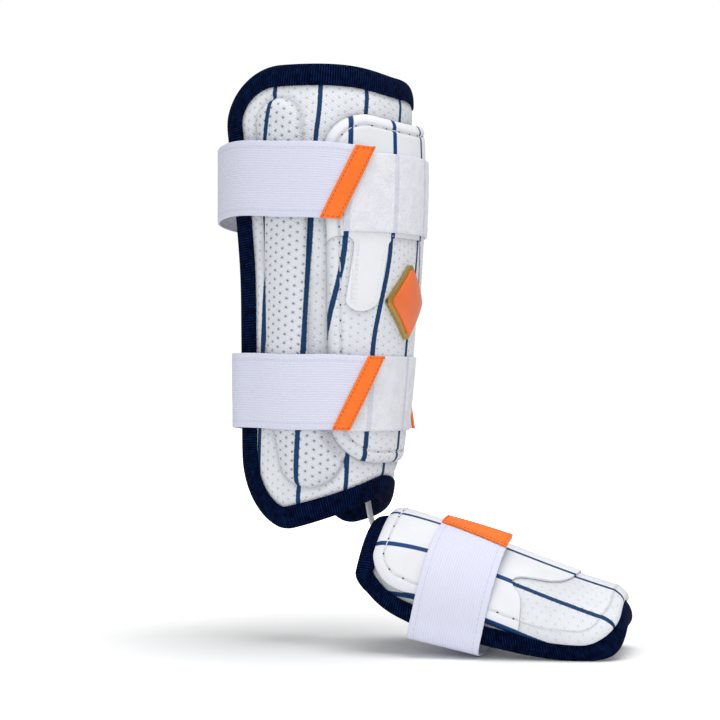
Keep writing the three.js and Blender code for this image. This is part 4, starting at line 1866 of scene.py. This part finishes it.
@dataclass(kw_only=True)
class BoundPad(PaddedPiece):
    """A pad whose whole edge is bound with tape.

    Attributes:
        plate_shade: Reach and strength of the shade beside the plate.
        tape_shade: Reach and strength of the shade beside the tape.
    """

    plate: PaddedPlate
    pad: float
    gap: float
    binding: Layer
    binding_width: float
    binding_fold: float = 2.3
    binding_cloth: float = 1.1
    edge_pinch: float = 4.0
    edge_slope: float = 5.0
    hold_margin: float = 1.0
    plate_shade: tuple[float, float] = (1.5, 0.9)
    tape_shade: tuple[float, float]

    def back(self) -> float:
        """Gives the stand of the pad's back."""
        return -self.pad

    def tape_back(self) -> float:
        """Gives the stand of what the tape's back leg lies on."""
        return self.back()

    def pinch(self, distance: Values) -> Values:
        """Gives how the tape squeezes the pad, at a distance from the edge."""
        return -self.edge_pinch * (1 - smoothstep(distance, 0, self.binding_width + self.edge_slope))

    def face(self, u: Values, v: Values) -> Values:
        """Gives the stand of the pad's face."""
        return self.pinch(self.outline.distance(u, v))

    def held(self, u: Values, v: Values) -> Values:
        """Tells where the face can't swell: under the tape."""
        return self.outline.distance(u, v) < self.binding_width + self.hold_margin

    def beside_plate(self, u: Values, v: Values) -> Values:
        """Gives the distance to the plate."""
        return self.plate.outline.distance(u, v)

    def painted_shade(self, u: Values, v: Values) -> Values:
        """Tells where painted shade darkens the cover: beside the plate and the tape.

        Args:
            u: Places across.
            v: Places along.

        Returns:
            Shares from 0 to 1.
        """
        # painted shade that fades with distance from the plate and from the tape
        past_tape = np.maximum(self.outline.distance(u, v) - self.binding_width, 0)
        shades = ((self.beside_plate(u, v), *self.plate_shade), (past_tape, *self.tape_shade))
        return np.maximum.reduce([strength * np.exp(-away / reach) for away, reach, strength in shades])

    def build_binding(self) -> None:
        """Makes the tape folded round the pad's edge."""
        back = self.tape_back() - self.binding_fold
        front = float(self.pinch(np.array(self.binding_width))) + self.gap + self.binding_cloth
        section = roll_section(self.binding_width, back, front, self.binding_fold, self.binding_cloth)
        piece = sweep_tape(self.binding.name, self.form, self.outline, section)
        dress(piece, self.binding.finish, "navy_tape", self.binding.node, angle=50)


# Shin guard


class PlateRow(NamedTuple):
    """One section of the front plate: its height, half width and crown."""

    z: float
    half: float
    crown: float


class StillRow(NamedTuple):
    """A place on the front plate that can't swell: its half width, middle height and half height."""

    half_width: float
    middle: float
    half_height: float


@dataclass(kw_only=True)
class FrontPlate(PaddedPlate):
    """The raised plate on the shell's front, with an overlay whose two tongues hang down.

    Attributes:
        still: Places under the lower band and the badge.
    """

    cover: Cover = Cover(
        "front_plate", "shin_plate", PLATE_COVER, (54, 92), cap=1.3, fill=0.7, angle=40, gather=(0.35, 0.5)
    )
    rows: tuple[PlateRow, ...] = (
        PlateRow(-100, 40, 4.5),
        PlateRow(-60, 43, 6.5),
        PlateRow(-27, 45.5, 7.8),
        PlateRow(28, 49, 8.8),
        PlateRow(70, 53, 8.2),
        PlateRow(104, 54.5, 5.5),
    )
    gap: float = 0.8
    top_dip: float = 3.0
    dip_fall: float = 6.0
    top_corner: Corner = Corner(24, 22)
    bottom_corner: Corner = Corner(28, 26)
    side_fall: float = 0.15
    seam_width: float = 1.0
    seam_depth: float = 1.1
    overlay: Layer = Layer("plate_overlay", "shin_overlay", PLATE_LEATHER)
    overlay_thickness: float = 1.2
    overlay_edge: float = 32.5
    overlay_side: int = 1
    overlay_cell: float = 1.3
    overlay_samples: int = 241
    tongue_lean: float = 0.1
    tongue_centre: float = 25.6
    tongue_half: float = 9.0
    tongue_tip: float = -11.0
    window_round: float = 6.0
    sewing_inset: float = 2.2
    sewing_half: float = 40.0
    still: tuple[StillRow, ...] = (StillRow(math.inf, -59, 25), StillRow(16, -5, 22))
    raised_share: float = 0.5
    border: tuple[str, str] = ("plate_thread", "plate_needle_holes")

    def half(self, z: Values) -> Values:
        """Gives the plate's half width at a height, without its corners."""
        return Curve(self.rows, "half")(z)

    def reach(self, z: Values) -> Values:
        """Gives the plate's half width at a height, with its corners."""
        low, high = self.rows[0].z, self.rows[-1].z
        return self.half(z) - (self.bottom_corner.inset(z - low) + self.top_corner.inset(high - z))

    def patch(self, s: Values, t: Values) -> tuple[Values, Values]:
        """Gives the plate's pattern.

        Args:
            s: Shares across.
            t: Shares along.

        Returns:
            Ways round the shin, and heights.
        """
        low, high = self.rows[0].z, self.rows[-1].z
        z = low + (high - low) * t
        return s * self.reach(z), z - self.top_dip * t**self.dip_fall * np.cos(s * math.pi / 2)

    def crown(self, u: Values, v: Values) -> Values:
        """Gives the plate's height, which falls towards its sides."""
        return Curve(self.rows, "crown")(v) * (1 - self.side_fall * (u / self.half(v)) ** 2)

    def raised(self, u: Values, v: Values) -> Values:
        """Tells how far the foam stretches the cover, which is the same all over the plate."""
        return 0 * u + self.raised_share

    def held(self, u: Values, v: Values) -> Values:
        """Tells where the face can't swell.

        Args:
            u: Places across.
            v: Places along.

        Returns:
            True under the overlay, the lower band and the badge, and outside the border seam.
        """
        held = super().held(u, v) | self.overlay_outline.holds(u, v)
        for row in self.still:
            held |= (np.abs(u) < row.half_width) & (np.abs(v - row.middle) < row.half_height)
        return held

    def free_edge(self, u: Values) -> Values:
        """Gives the height of the overlay's lower edge, with its hanging tongues.

        Args:
            u: Places across.

        Returns:
            The edge's heights.
        """
        off = np.abs(np.abs(u) - self.tongue_centre)
        tip = self.tongue_tip + self.tongue_half - np.sqrt(np.maximum(self.tongue_half**2 - off**2, 0))
        inside = self.half(self.overlay_edge) - self.overlay_inset - np.abs(u)
        beyond = np.clip(np.minimum(off - self.tongue_half, inside) / self.window_round, 0, 1)
        arch = self.overlay_edge - self.window_round * (1 - np.sqrt(1 - (1 - beyond) ** 2))
        return np.where(off < self.tongue_half, tip, arch)

    def build_overlay(self) -> None:
        """Makes the overlay and sews its lower edge."""
        super().build_overlay()
        inner = self.overlay_outline.inset(self.sewing_inset).points
        lower = inner[(inner[:, 1] < self.overlay_edge + 1) & (np.abs(inner[:, 0]) < self.sewing_half)]
        top = self.overlay_lift + self.overlay_thickness
        path = lower[np.argsort(lower[:, 0])]
        OVERLAY_THREAD.sew("overlay_thread", self.form, path, lambda u, v: self.sewn_face(u, v, top))


class BadgeRow(NamedTuple):
    """One layer of the badge: its piece and slot, its inset, and its two stands off the plate."""

    layer: Layer
    slot: str
    inset: float
    low: float
    high: float


@dataclass
class Badge:
    """A plain diamond badge on the front plate: a bevelled rim and an enamelled face."""

    plate: FrontPlate
    z: float = -5.0
    half_width: float = 17.0
    half_height: float = 23.0
    corner: float = 2.2
    corner_steps: int = 4
    cell: float = 3.0
    cells: int = 12
    dome: float = 0.7
    dome_share: float = 0.35
    rows: tuple[BadgeRow, ...] = (
        BadgeRow(Layer("badge_frame", "badge_rim", BADGE_GOLD), "gold_rim", 0.0, 0.5, 2.9),
        BadgeRow(Layer("badge_enamel_face", "badge_face", BADGE_ENAMEL), "orange_tab", 2.9, 2.6, 4.3),
    )

    def stand(self, row: BadgeRow, u: Values, v: Values, height: Values) -> Values:
        """Gives the stand of one layer.

        Args:
            row: The layer.
            u: Places across.
            v: Heights up the plate.
            height: Flat heights in the layer.

        Returns:
            Distances off the pad.
        """
        reach = self.half_width - row.inset
        away = (np.abs(u) + np.abs(v - self.z) * self.half_width / self.half_height) / reach
        dome = self.dome * np.clip(1 - away, 0, self.dome_share) / self.dome_share
        return self.plate.face(u, v) + row.low + height + np.where(height > 0.5, dome, 0)

    def build_layer(self, row: BadgeRow) -> None:
        """Makes one layer.

        Args:
            row: The layer.
        """
        circle = bpy.ops.mesh.primitive_circle_add
        piece = start(row.layer.name, circle, vertices=4, radius=1, fill_type="NGON")
        size = (self.half_width - row.inset, self.half_height - row.inset, 0)
        write_points(piece, read_vectors(piece) * size + (0, self.z, 0))
        bpy.ops.object.mode_set(mode="EDIT")
        bpy.ops.mesh.select_all(action="SELECT")
        bpy.ops.mesh.bevel(offset=self.corner, segments=self.corner_steps, affect="VERTICES")
        bpy.ops.object.mode_set(mode="OBJECT")
        steps = (np.arange(self.cells) - (self.cells - 1) / 2) * self.cell
        quilt(piece, [(axis, step + axis * self.z) for step in steps for axis in (0, 1)])
        thicken(piece, row.high - row.low)
        wrap(piece, self.plate.form, lambda u, v, height: self.stand(row, u, v, height))
        dress(piece, row.layer.finish, row.slot, row.layer.node, angle=35)

    def build(self) -> None:
        """Makes the badge's layers."""
        for row in self.rows:
            self.build_layer(row)


class RibRow(NamedTuple):
    """One place on a side rib's spine: its height, place round the shell and half width."""

    z: float
    centre: float
    half: float


@dataclass(kw_only=True)
class ShinShell(BoundPad):
    """The padded shell round the front and sides of the leg, with its ribs, lining and binding.

    Attributes:
        sides: Heights, and how far the shell reaches past the leg's axis there.
        far_drop: How much lower the top edge is on the far side.
        rib_clear: Distances from the plate between which the ribs rise.
        crease_past: How far past a rib's edge its crease is deepest.
        shade_past: How far past a rib's edge the painted shade is darkest.
    """

    cover: Cover = Cover("shin_shell", "shin_pad", SHIN_COVER, (92, 104), cap=1.2, fill=0.7)
    pad: float = 7.0
    gap: float = 0.5
    binding: Layer = Layer("shell_binding", "shin_binding", TAPE)
    binding_width: float = 11.0
    tape_shade: tuple[float, float] = (1.2, 0.6)
    top: float = 131.5
    bottom: float = -137.5
    sides: tuple[tuple[float, float], ...] = ((-90, 30), (-25, 28.5), (10, 28), (40, 29.5), (105, 35))
    lining: float = 1.2
    lining_share: float = 0.985
    lining_faces: tuple[int, int] = (60, 60)
    top_corner: Corner = Corner(37, 35)
    bottom_corner: Corner = Corner(32, 42)
    top_dip: float = 5.0
    top_dip_half: float = 29.0
    far_drop: float = 3.0
    far_end: float = 70.0
    ankle_arch: float = 19.0
    ankle_lobe: float = 66.0
    ankle_round: float = 6.0
    ankle_bow: float = 1.25
    rib_height: float = 6.4
    rib_clear: tuple[float, float] = (2.1, 7.0)
    rib_bluntness: float = 3.0
    rib_hold: float = 2.4
    plate_hold: float = 2.5
    crease_depth: float = 1.5
    crease_width: float = 1.3
    crease_past: float = 0.6
    crease_clear: tuple[float, float] = (1.0, 4.0)
    shade_width: float = 1.1
    shade_past: float = 0.5
    shade_clear: tuple[float, float] = (0.0, 4.0)
    spine: tuple[RibRow, ...] = (
        RibRow(99, 82, 15.2),
        RibRow(44, 74.5, 14.7),
        RibRow(-4, 71.5, 14),
        RibRow(-40, 69, 14),
        RibRow(-70, 61.5, 17),
        RibRow(-94, 52, 20.5),
    )

    def upper_edge(self, u: Values) -> Values:
        """Gives the height of the top edge.

        Args:
            u: Ways round the shell.

        Returns:
            The edge's heights.
        """
        near = self.top_dip * bell(u, self.top_dip_half)
        far = self.top_dip + self.far_drop * smoothstep(u, 0, self.far_end)
        return self.top - np.where(u < 0, near, far)

    def lower_edge(self, u: Values) -> Values:
        """Gives the height of the bottom edge, which arches over the foot."""
        out = np.hypot(u, self.ankle_round) - self.ankle_round
        return self.bottom + self.ankle_arch * np.maximum(1 - out / self.ankle_lobe, 0) ** self.ankle_bow

    def patch(self, s: Values, t: Values) -> tuple[Values, Values]:
        """Gives the shell's pattern.

        Args:
            s: Shares across.
            t: Shares along.

        Returns:
            Ways round the shin, and heights.
        """
        z = self.bottom + (self.top - self.bottom) * t
        half = self.form.radius_at(z) * math.pi / 2 + Curve(self.sides)(z)
        u = s * (half - (self.bottom_corner.inset(z - self.bottom) + self.top_corner.inset(self.top - z)))
        low, high = self.lower_edge(u), self.upper_edge(u)
        return u, low + (high - low) * t

    def rib_share(self, u: Values, v: Values) -> tuple[Values, Values]:
        """Tells how far places lie from a rib's spine.

        Args:
            u: Ways round the shell.
            v: Heights.

        Returns:
            The distance as a share of the rib's half width, and in millimetres past its edge.
        """
        share = np.full(np.shape(u), np.inf)
        past = np.full(np.shape(u), np.inf)
        for high, low in zip(self.spine, self.spine[1:]):
            run = np.array([low.centre - high.centre, low.z - high.z])
            away = np.stack([np.abs(u) - high.centre, v - high.z])
            along = np.clip((away[0] * run[0] + away[1] * run[1]) / (run @ run), 0, 1)
            off = np.hypot(away[0] - along * run[0], away[1] - along * run[1])
            half = high.half + (low.half - high.half) * along
            share = np.minimum(share, off / half)
            past = np.minimum(past, off - half)
        return share, past

    def beside_plate(self, u: Values, v: Values) -> Values:
        """Gives the distance to the front plate, nothing under it."""
        return np.where(self.plate.outline.holds(u, v), 0, super().beside_plate(u, v))

    def rib(self, u: Values, v: Values) -> Values:
        """Gives the height of the side ribs over the pad."""
        form = np.sqrt(1 - np.minimum(self.rib_share(u, v)[0], 1) ** self.rib_bluntness)
        return self.rib_height * form * smoothstep(self.beside_plate(u, v), *self.rib_clear)

    def face(self, u: Values, v: Values) -> Values:
        """Gives the stand of the pad's face, with its ribs."""
        return self.rib(u, v) + super().face(u, v)

    def seam(self, u: Values, v: Values) -> Values:
        """Gives how deep the crease round each rib is."""
        crease = bell(self.rib_share(u, v)[1] - self.crease_past, self.crease_width)
        return self.crease_depth * crease * smoothstep(self.beside_plate(u, v), *self.crease_clear)

    def held(self, u: Values, v: Values) -> Values:
        """Tells where the face can't swell: under the tape, and beside the ribs and the plate."""
        ribs = np.abs(self.rib_share(u, v)[1]) < self.rib_hold
        return super().held(u, v) | ribs | (self.beside_plate(u, v) < self.plate_hold)

    def raised(self, u: Values, v: Values) -> Values:
        """Tells where a rib's foam stretches the cover."""
        return np.clip(self.rib(u, v) / self.rib_height, 0, 1)

    def painted_shade(self, u: Values, v: Values) -> Values:
        """Tells where painted shade darkens the cover: round the ribs, the plate and the tape."""
        # painted shade just past each rib's edge, kept off the plate
        crease = bell(self.rib_share(u, v)[1] - self.shade_past, self.shade_width)
        clear = smoothstep(self.beside_plate(u, v), *self.shade_clear)
        return np.maximum(crease * clear, super().painted_shade(u, v))

    def tape_back(self) -> float:
        """Gives the stand of the lining's inside, which the tape's back leg lies on."""
        return -(self.pad + self.gap + self.lining)

    def lining_patch(self, s: Values, t: Values) -> tuple[Values, Values]:
        """Gives the lining's pattern, a little inside the shell's."""
        return self.patch(s * self.lining_share, 0.5 + (t - 0.5) * self.lining_share)

    def build_lining(self) -> None:
        """Makes the lining on the pad's inside."""
        piece = cut_grid("shell_lining", *self.lining_faces, self.lining_patch)
        points = read_vectors(piece)
        inside = self.tape_back()
        thicken(piece, self.lining)
        wrap(piece, self.form, lambda u, v, height: inside + height)
        dress(piece, LINING, "navy_tape", "shin_lining")

    def build(self) -> None:
        """Makes the padded shell, its lining and its binding."""
        self.build_cover()
        self.build_lining()
        self.build_binding()


# Straps


@dataclass(frozen=True)
class LoopBand:
    """A fuzzy loop band across the front plate, on which a strap fastens."""

    node: str
    plate: FrontPlate
    z: float
    width: float
    inset: float = 8.0
    thickness: float = 1.4
    edge: float = 0.5
    lift: float = 0.4
    faces: tuple[int, int] = (44, 24)

    def under(self, u: Values, v: Values) -> Values:
        """Gives the stand of the band's back, which lies on the plate and its overlay."""
        overlay = self.plate.overlay_lift + self.plate.overlay_thickness
        return self.plate.face(u, v) + np.where(v > self.plate.free_edge(u), overlay, 0) + self.lift

    def build(self) -> None:
        """Makes the band."""
        low = self.z - self.width / 2
        half = float(self.plate.reach(np.array(low))) - self.inset
        piece = cut_grid(f"{self.node}_pile", *self.faces, lambda s, t: (s * half, low + t * self.width))
        thicken(piece, self.thickness, self.edge)
        wrap(piece, self.plate.form, lambda u, v, height: self.under(u, v) + height)
        dress(piece, LOOP_PILE, "loop_pile", self.node, angle=60)


@dataclass(frozen=True, kw_only=True)
class Strap:
    """An elastic strap that loops round, and the leather tags sewn on its two slanted ends.

    Attributes:
        cut: Where its left end lies, in degrees from the start, at its two edges.
        right_end_on: How many degrees further its right end lies.
    """

    node: str
    tag: str
    form: LoopForm
    cut: tuple[float, float]
    right_end_on: float
    width: float = 44.0
    thickness: float = 1.6
    edge: float = 0.45
    faces: tuple[int, int] = (170, 12)
    tag_arc: float = 10.5
    tag_overhang: float = 0.5
    tag_lift: float = 0.15
    tag_thickness: float = 1.4
    tag_edge: float = 0.3
    tag_faces: tuple[int, int] = (8, 24)
    sewing_inset: float = 1.3

    def end(self, side: Side, t: Values) -> Values:
        """Finds where the strap ends.

        Args:
            side: Which of its ends.
            t: Shares across the strap.

        Returns:
            Degrees from the loop's start.
        """
        first, last = self.cut
        if side is Side.LEFT:
            return -(first + (last - first) * t)
        return first + (last - first) * (1 - t) + self.right_end_on

    def height(self, t: Values) -> Values:
        """Gives the second pattern coordinate of a share across the strap."""
        return self.form.middle + (t - 0.5) * self.width

    def patch(self, s: Values, t: Values) -> tuple[Values, Values]:
        """Gives the strap's pattern, from its right end round to its left one."""
        first, last = self.end(Side.RIGHT, t), 360 + self.end(Side.LEFT, t)
        return self.form.way(first + (last - first) * (s + 1) / 2), self.height(t)

    def build_strap(self) -> None:
        """Makes the strap."""
        piece = cut_grid(f"{self.node}_webbing", *self.faces, self.patch)
        thicken(piece, self.thickness, self.edge)
        wrap(piece, self.form, lambda u, v, height: height)
        name, half = f"{self.node}_elastic", self.width / 2
        finish = Elastic(name, ELASTIC_WHITE, 0.85, 0.1, middle=self.form.middle, half=half)
        dress(piece, finish, "white_elastic", self.node, angle=60)

    def build_tag(self, side: Side) -> None:
        """Makes the tag on one end and sews it on.

        Args:
            side: Which end.
        """
        node = f"{self.tag}_{side.name.lower()}"
        seat = self.thickness + self.tag_lift

        def patch(s: Values, t: Values) -> tuple[Values, Values]:
            """Gives the tag's pattern."""
            arc = self.tag_arc * (s + 1) / 2 - self.tag_overhang
            return self.form.way(self.end(side, t) + side.value * arc), self.height(t)

        piece = cut_grid(f"{node}_tab", *self.tag_faces, patch)
        thicken(piece, self.tag_thickness, self.tag_edge)
        wrap(piece, self.form, lambda u, v, height: seat + height)
        dress(piece, TAB_LEATHER, "orange_tab", node, angle=50)
        line = Outline.of_patch(patch, 0.5).inset(self.sewing_inset).points
        top = seat + self.tag_thickness
        TAG_THREAD.sew(f"{node}_thread", self.form, ring(line), lambda u, v: 0 * u + top)

    def build(self) -> None:
        """Makes the strap and its tags."""
        self.build_strap()
        for side in Side:
            self.build_tag(side)


class ShinStrap(NamedTuple):
    """What tells the shin's straps apart: the strap's loop and ends, and the band's place."""

    name: str
    middle: float
    cut: tuple[float, float]
    right_end_on: float
    band_z: float
    band_width: float
    rows: tuple[LoopRow, ...]


UPPER_LOOP = (
    LoopRow(0, 64.3, -3.5),
    LoopRow(36, 64.3, -3),
    LoopRow(48, 64.8, -1.8),
    LoopRow(60, 63, -0.5),
    LoopRow(82, 61, 0.5),
    LoopRow(110, 62.8, 2.5),
    LoopRow(140, 62.6, 1),
    LoopRow(180, 61, -2),
)
LOWER_LOOP = (
    LoopRow(0, 56.6, -1),
    LoopRow(30, 56.6, -1),
    LoopRow(54, 54.4),
    LoopRow(80, 53.4),
    LoopRow(105, 54.4, 1),
    LoopRow(124, 57, 1),
    LoopRow(145, 50.2),
    LoopRow(180, 45, -1),
)
SHIN_STRAPS = (
    ShinStrap("upper", 65, cut=(50, 32), right_end_on=16, band_z=58, band_width=46, rows=UPPER_LOOP),
    ShinStrap("lower", -58, cut=(43, 22), right_end_on=22, band_z=-59, band_width=44, rows=LOWER_LOOP),
)


@dataclass(frozen=True)
class LinkStrip:
    """The narrow elastic strip that carries the foot guard."""

    form: LinkForm = LinkForm()
    half: float = LINK_ELASTIC.half
    thickness: float = 1.4
    edge: float = 0.3
    faces: tuple[int, int] = (6, 60)

    def build(self) -> None:
        """Makes the strip."""
        length = self.form.length()
        piece = cut_grid("link_webbing", *self.faces, lambda s, t: (s * self.half, t * length))
        thicken(piece, self.thickness, self.edge)
        wrap(piece, self.form, lambda u, v, height: height - self.thickness / 2)
        dress(piece, LINK_ELASTIC, "grey_elastic", "link_strip", angle=60)


# Foot guard


@dataclass(kw_only=True)
class FootPlate(PaddedPlate):
    """The raised plate on the foot guard, with an overlay whose tongue lies in the middle.

    Attributes:
        side_inset: From the pad's sides to the plate's, at the ankle and at the toe.
        widens: Shares along the plate between which it widens.
        overlay_rows: Ways across from the middle, and how far forward the overlay reaches there.
    """

    cover: Cover = Cover(
        "foot_raised_plate", "foot_plate", FOOT_COVER, (54, 72), 1.4, 0.6, angle=40, gather=(0.35, 0.5)
    )
    gap: float = 0.9
    seam_width: float = 0.9
    seam_depth: float = 0.35
    inset: float = 8.5
    ankle_corner: Corner = Corner(12, 12)
    toe: ToeCorners = ToeCorners(Corner(22, 20), Corner(37, 45))
    side_inset: tuple[float, float] = (13.0, 7.5)
    widens: tuple[float, float] = (0.3, 0.75)
    height: float = 4.5
    overlay: Layer = Layer("foot_smooth_overlay", "foot_overlay", FOOT_LEATHER)
    overlay_thickness: float = 1.1
    overlay_edge: float = 90.5
    overlay_side: int = -1
    overlay_cell: float = 1.4
    overlay_samples: int = 181
    overlay_rows: tuple[tuple[float, float], ...] = (
        (0, 118),
        (10, 117),
        (18, 114),
        (23, 109),
        (26, 103),
        (28, 96),
        (30, 90),
        (32.5, 86),
        (36, 84.5),
        (39, 86),
        (42, 89.3),
        (45, 90.5),
        (70, 90.5),
    )
    overlay_hold: float = 2.0
    border: tuple[str, str] = ("foot_plate_thread", "foot_needle_holes")

    def patch(self, s: Values, t: Values) -> tuple[Values, Values]:
        """Gives the plate's pattern.

        Args:
            s: Shares across.
            t: Shares along.

        Returns:
            Ways across from the ridge, and places forward.
        """
        end = self.form.length - self.inset
        forward = self.inset + (end - self.inset) * t
        corner = self.ankle_corner.inset(forward - self.inset) + self.toe.inset(s, end - forward)
        ankle, toe = self.side_inset
        side = ankle + (toe - ankle) * smoothstep(t, *self.widens)
        return s * (self.form.reach(forward) - side - corner), forward - self.form.sweep(s, t)

    def crown(self, u: Values, v: Values) -> Values:
        """Gives the plate's height, which is the same all over it."""
        return 0 * u + self.height

    def free_edge(self, u: Values) -> Values:
        """Gives how far forward the overlay runs, with its middle tongue between two windows."""
        return Curve(self.overlay_rows)(np.abs(u))

    def held(self, u: Values, v: Values) -> Values:
        """Tells where the face can't swell: under the overlay and outside the border seam."""
        return super().held(u, v) | (v < self.free_edge(u) + self.overlay_hold)


@dataclass(kw_only=True)
class FootPad(BoundPad):
    """The foot guard's arched pad."""

    cover: Cover = Cover("foot_shell", "foot_pad", FOOT_COVER, (60, 70), cap=0.8, fill=0.6)
    pad: float = 6.0
    gap: float = 0.9
    binding: Layer = Layer("foot_edge_tape", "foot_binding", TAPE)
    binding_width: float = 9.0
    tape_shade: tuple[float, float] = (1.2, 0.7)
    ankle_corner: Corner = Corner(10, 20)
    toe: ToeCorners = ToeCorners(Corner(22, 24), Corner(40, 50))

    def patch(self, s: Values, t: Values) -> tuple[Values, Values]:
        """Gives the pad's pattern.

        Args:
            s: Shares across.
            t: Shares along.

        Returns:
            Ways across from the ridge, and places forward.
        """
        forward = t * self.form.length
        corner = self.ankle_corner.inset(forward) + self.toe.inset(s, self.form.length - forward)
        return s * (self.form.reach(forward) - corner), forward - self.form.sweep(s, t)

    def held(self, u: Values, v: Values) -> Values:
        """Tells where the face can't swell: under the tape and under the plate."""
        return super().held(u, v) | self.plate.outline.holds(u, v)

    def build(self) -> None:
        """Makes the pad and its binding."""
        self.build_cover()
        self.build_binding()


# Studio


class LampRow(NamedTuple):
    """One lamp: its name, its place, its size and its power."""

    name: str
    place: tuple[float, float, float]
    size: float
    power: float


@dataclass(frozen=True)
class Studio:
    """A pale floor, soft light and a level camera, in metres.

    Attributes:
        glow: Between which distances the floor begins to glow, so that no horizon shows.
    """

    floor: float
    eye: tuple[float, float, float] = (-1.060, -0.622, -0.058)
    aim: tuple[float, float, float] = (0.0119, 0.0210, -0.0386)
    lens: float = 103.0
    sensor: float = 36.0
    floor_size: float = 60.0
    floor_colour: Colour = (0.93, 0.935, 0.94)
    ambient: float = 0.5
    backdrop: float = 1.02
    glow: tuple[float, float] = (0.05, 0.65)
    lamps: tuple[LampRow, ...] = (
        LampRow("key", (-0.1, -0.4, 1.55), 1.4, 21.5),
        LampRow("fill", (-1.3, -0.5, 0.35), 1.2, 6.0),
    )
    lamp_aim: tuple[float, float, float] = (0, 0, -0.05)

    def build(self) -> None:
        """Makes the floor, the surround, the lights and the camera."""
        self.build_floor()
        self.build_surround()
        for lamp in self.lamps:
            light = bpy.data.lights.new(lamp.name, "AREA")
            light.size = lamp.size
            light.energy = lamp.power
            self.stand_up(lamp.name, light, lamp.place, self.lamp_aim)
        camera = bpy.data.cameras.new("camera")
        camera.lens = self.lens
        camera.sensor_width = self.sensor
        bpy.context.scene.camera = self.stand_up("camera", camera, self.eye, self.aim)
        bpy.context.scene.view_settings.view_transform = "Standard"

    def stand_up(self, name: str, kind: bpy.types.ID, place: Sequence, aim: Sequence) -> bpy.types.Object:
        """Stands a lamp or the camera up and points it.

        Args:
            name: Its name.
            kind: The light or the camera.
            place: Where it stands.
            aim: What it points at.

        Returns:
            The object.
        """
        item = bpy.data.objects.new(name, kind)
        bpy.context.scene.collection.objects.link(item)
        item.location = place
        item.rotation_euler = (Vector(aim) - Vector(place)).to_track_quat("-Z", "Y").to_euler()
        return item

    def build_floor(self) -> None:
        """Makes the floor, which glows further off."""
        plane = bpy.ops.mesh.primitive_plane_add
        ground = start("floor", plane, size=self.floor_size, location=(0, 0, self.floor))
        material = bpy.data.materials.new("floor")
        material.use_nodes = True
        shader = material.node_tree.nodes["Principled BSDF"]
        shader.inputs["Base Color"].default_value = opaque(self.floor_colour)
        shader.inputs["Roughness"].default_value = 0.9
        shader.inputs["Emission Strength"].default_value = 1.0
        tree = Tree(material.node_tree)
        away = tree.add("ShaderNodeVectorMath", operation="LENGTH")
        tree.feed(away.inputs[0], tree.add("ShaderNodeTexCoord").outputs["Object"])
        seen = tree.add("ShaderNodeLightPath").outputs["Is Camera Ray"]
        glow = tree.math("MULTIPLY", tree.ease(away.outputs["Value"], *self.glow), seen)
        tree.feed(shader.inputs["Emission Color"], tree.mix(glow, (0, 0, 0, 1), (1, 1, 1, 1)))
        ground.data.materials.append(material)
        ground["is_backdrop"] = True

    def build_surround(self) -> None:
        """Makes the pale surround, which lights less than it shows."""
        world = bpy.data.worlds.new("surround")
        bpy.context.scene.world = world
        world.use_nodes = True
        tree = Tree(world.node_tree)
        seen = tree.add("ShaderNodeLightPath").outputs["Is Camera Ray"]
        background = world.node_tree.nodes["Background"].inputs
        tree.feed(background["Color"], (1, 1, 1, 1))
        strength = tree.math("MULTIPLY_ADD", seen, self.backdrop - self.ambient, self.ambient)
        tree.feed(background["Strength"], strength)


def main() -> None:
    """Builds the studio and the sub-assemblies in order."""
    logging.basicConfig(level=logging.INFO, format="%(message)s")
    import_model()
    bpy.ops.object.select_all(action="DESELECT")
    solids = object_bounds()
    Studio(floor=float(solids[0][2])).build()
    shin = ShinForm()
    plate = FrontPlate(form=shin)
    ShinShell(form=shin, plate=plate).build()
    plate.build()
    Badge(plate).build()
    for row in SHIN_STRAPS:
        LoopBand(f"loop_band_{row.name}", plate, row.band_z, row.band_width).build()
        Strap(
            node=f"strap_{row.name}",
            tag=f"tag_{row.name}",
            form=ShinLoop(rows=row.rows, middle=row.middle, shin=shin),
            cut=row.cut,
            right_end_on=row.right_end_on,
        ).build()
    LinkStrip().build()
    foot = FootForm()
    foot_plate = FootPlate(form=foot)
    FootPad(form=foot, plate=foot_plate).build()
    foot_plate.build()
    Strap(
        node="foot_strap",
        tag="foot_tag",
        form=FootLoop(foot=foot),
        cut=(1.5, 19.0),
        right_end_on=60.0,
        width=42.0,
        faces=(200, 12),
        tag_arc=23.5,
        tag_overhang=0.0,
    ).build()


if __name__ == "__main__":
    main()
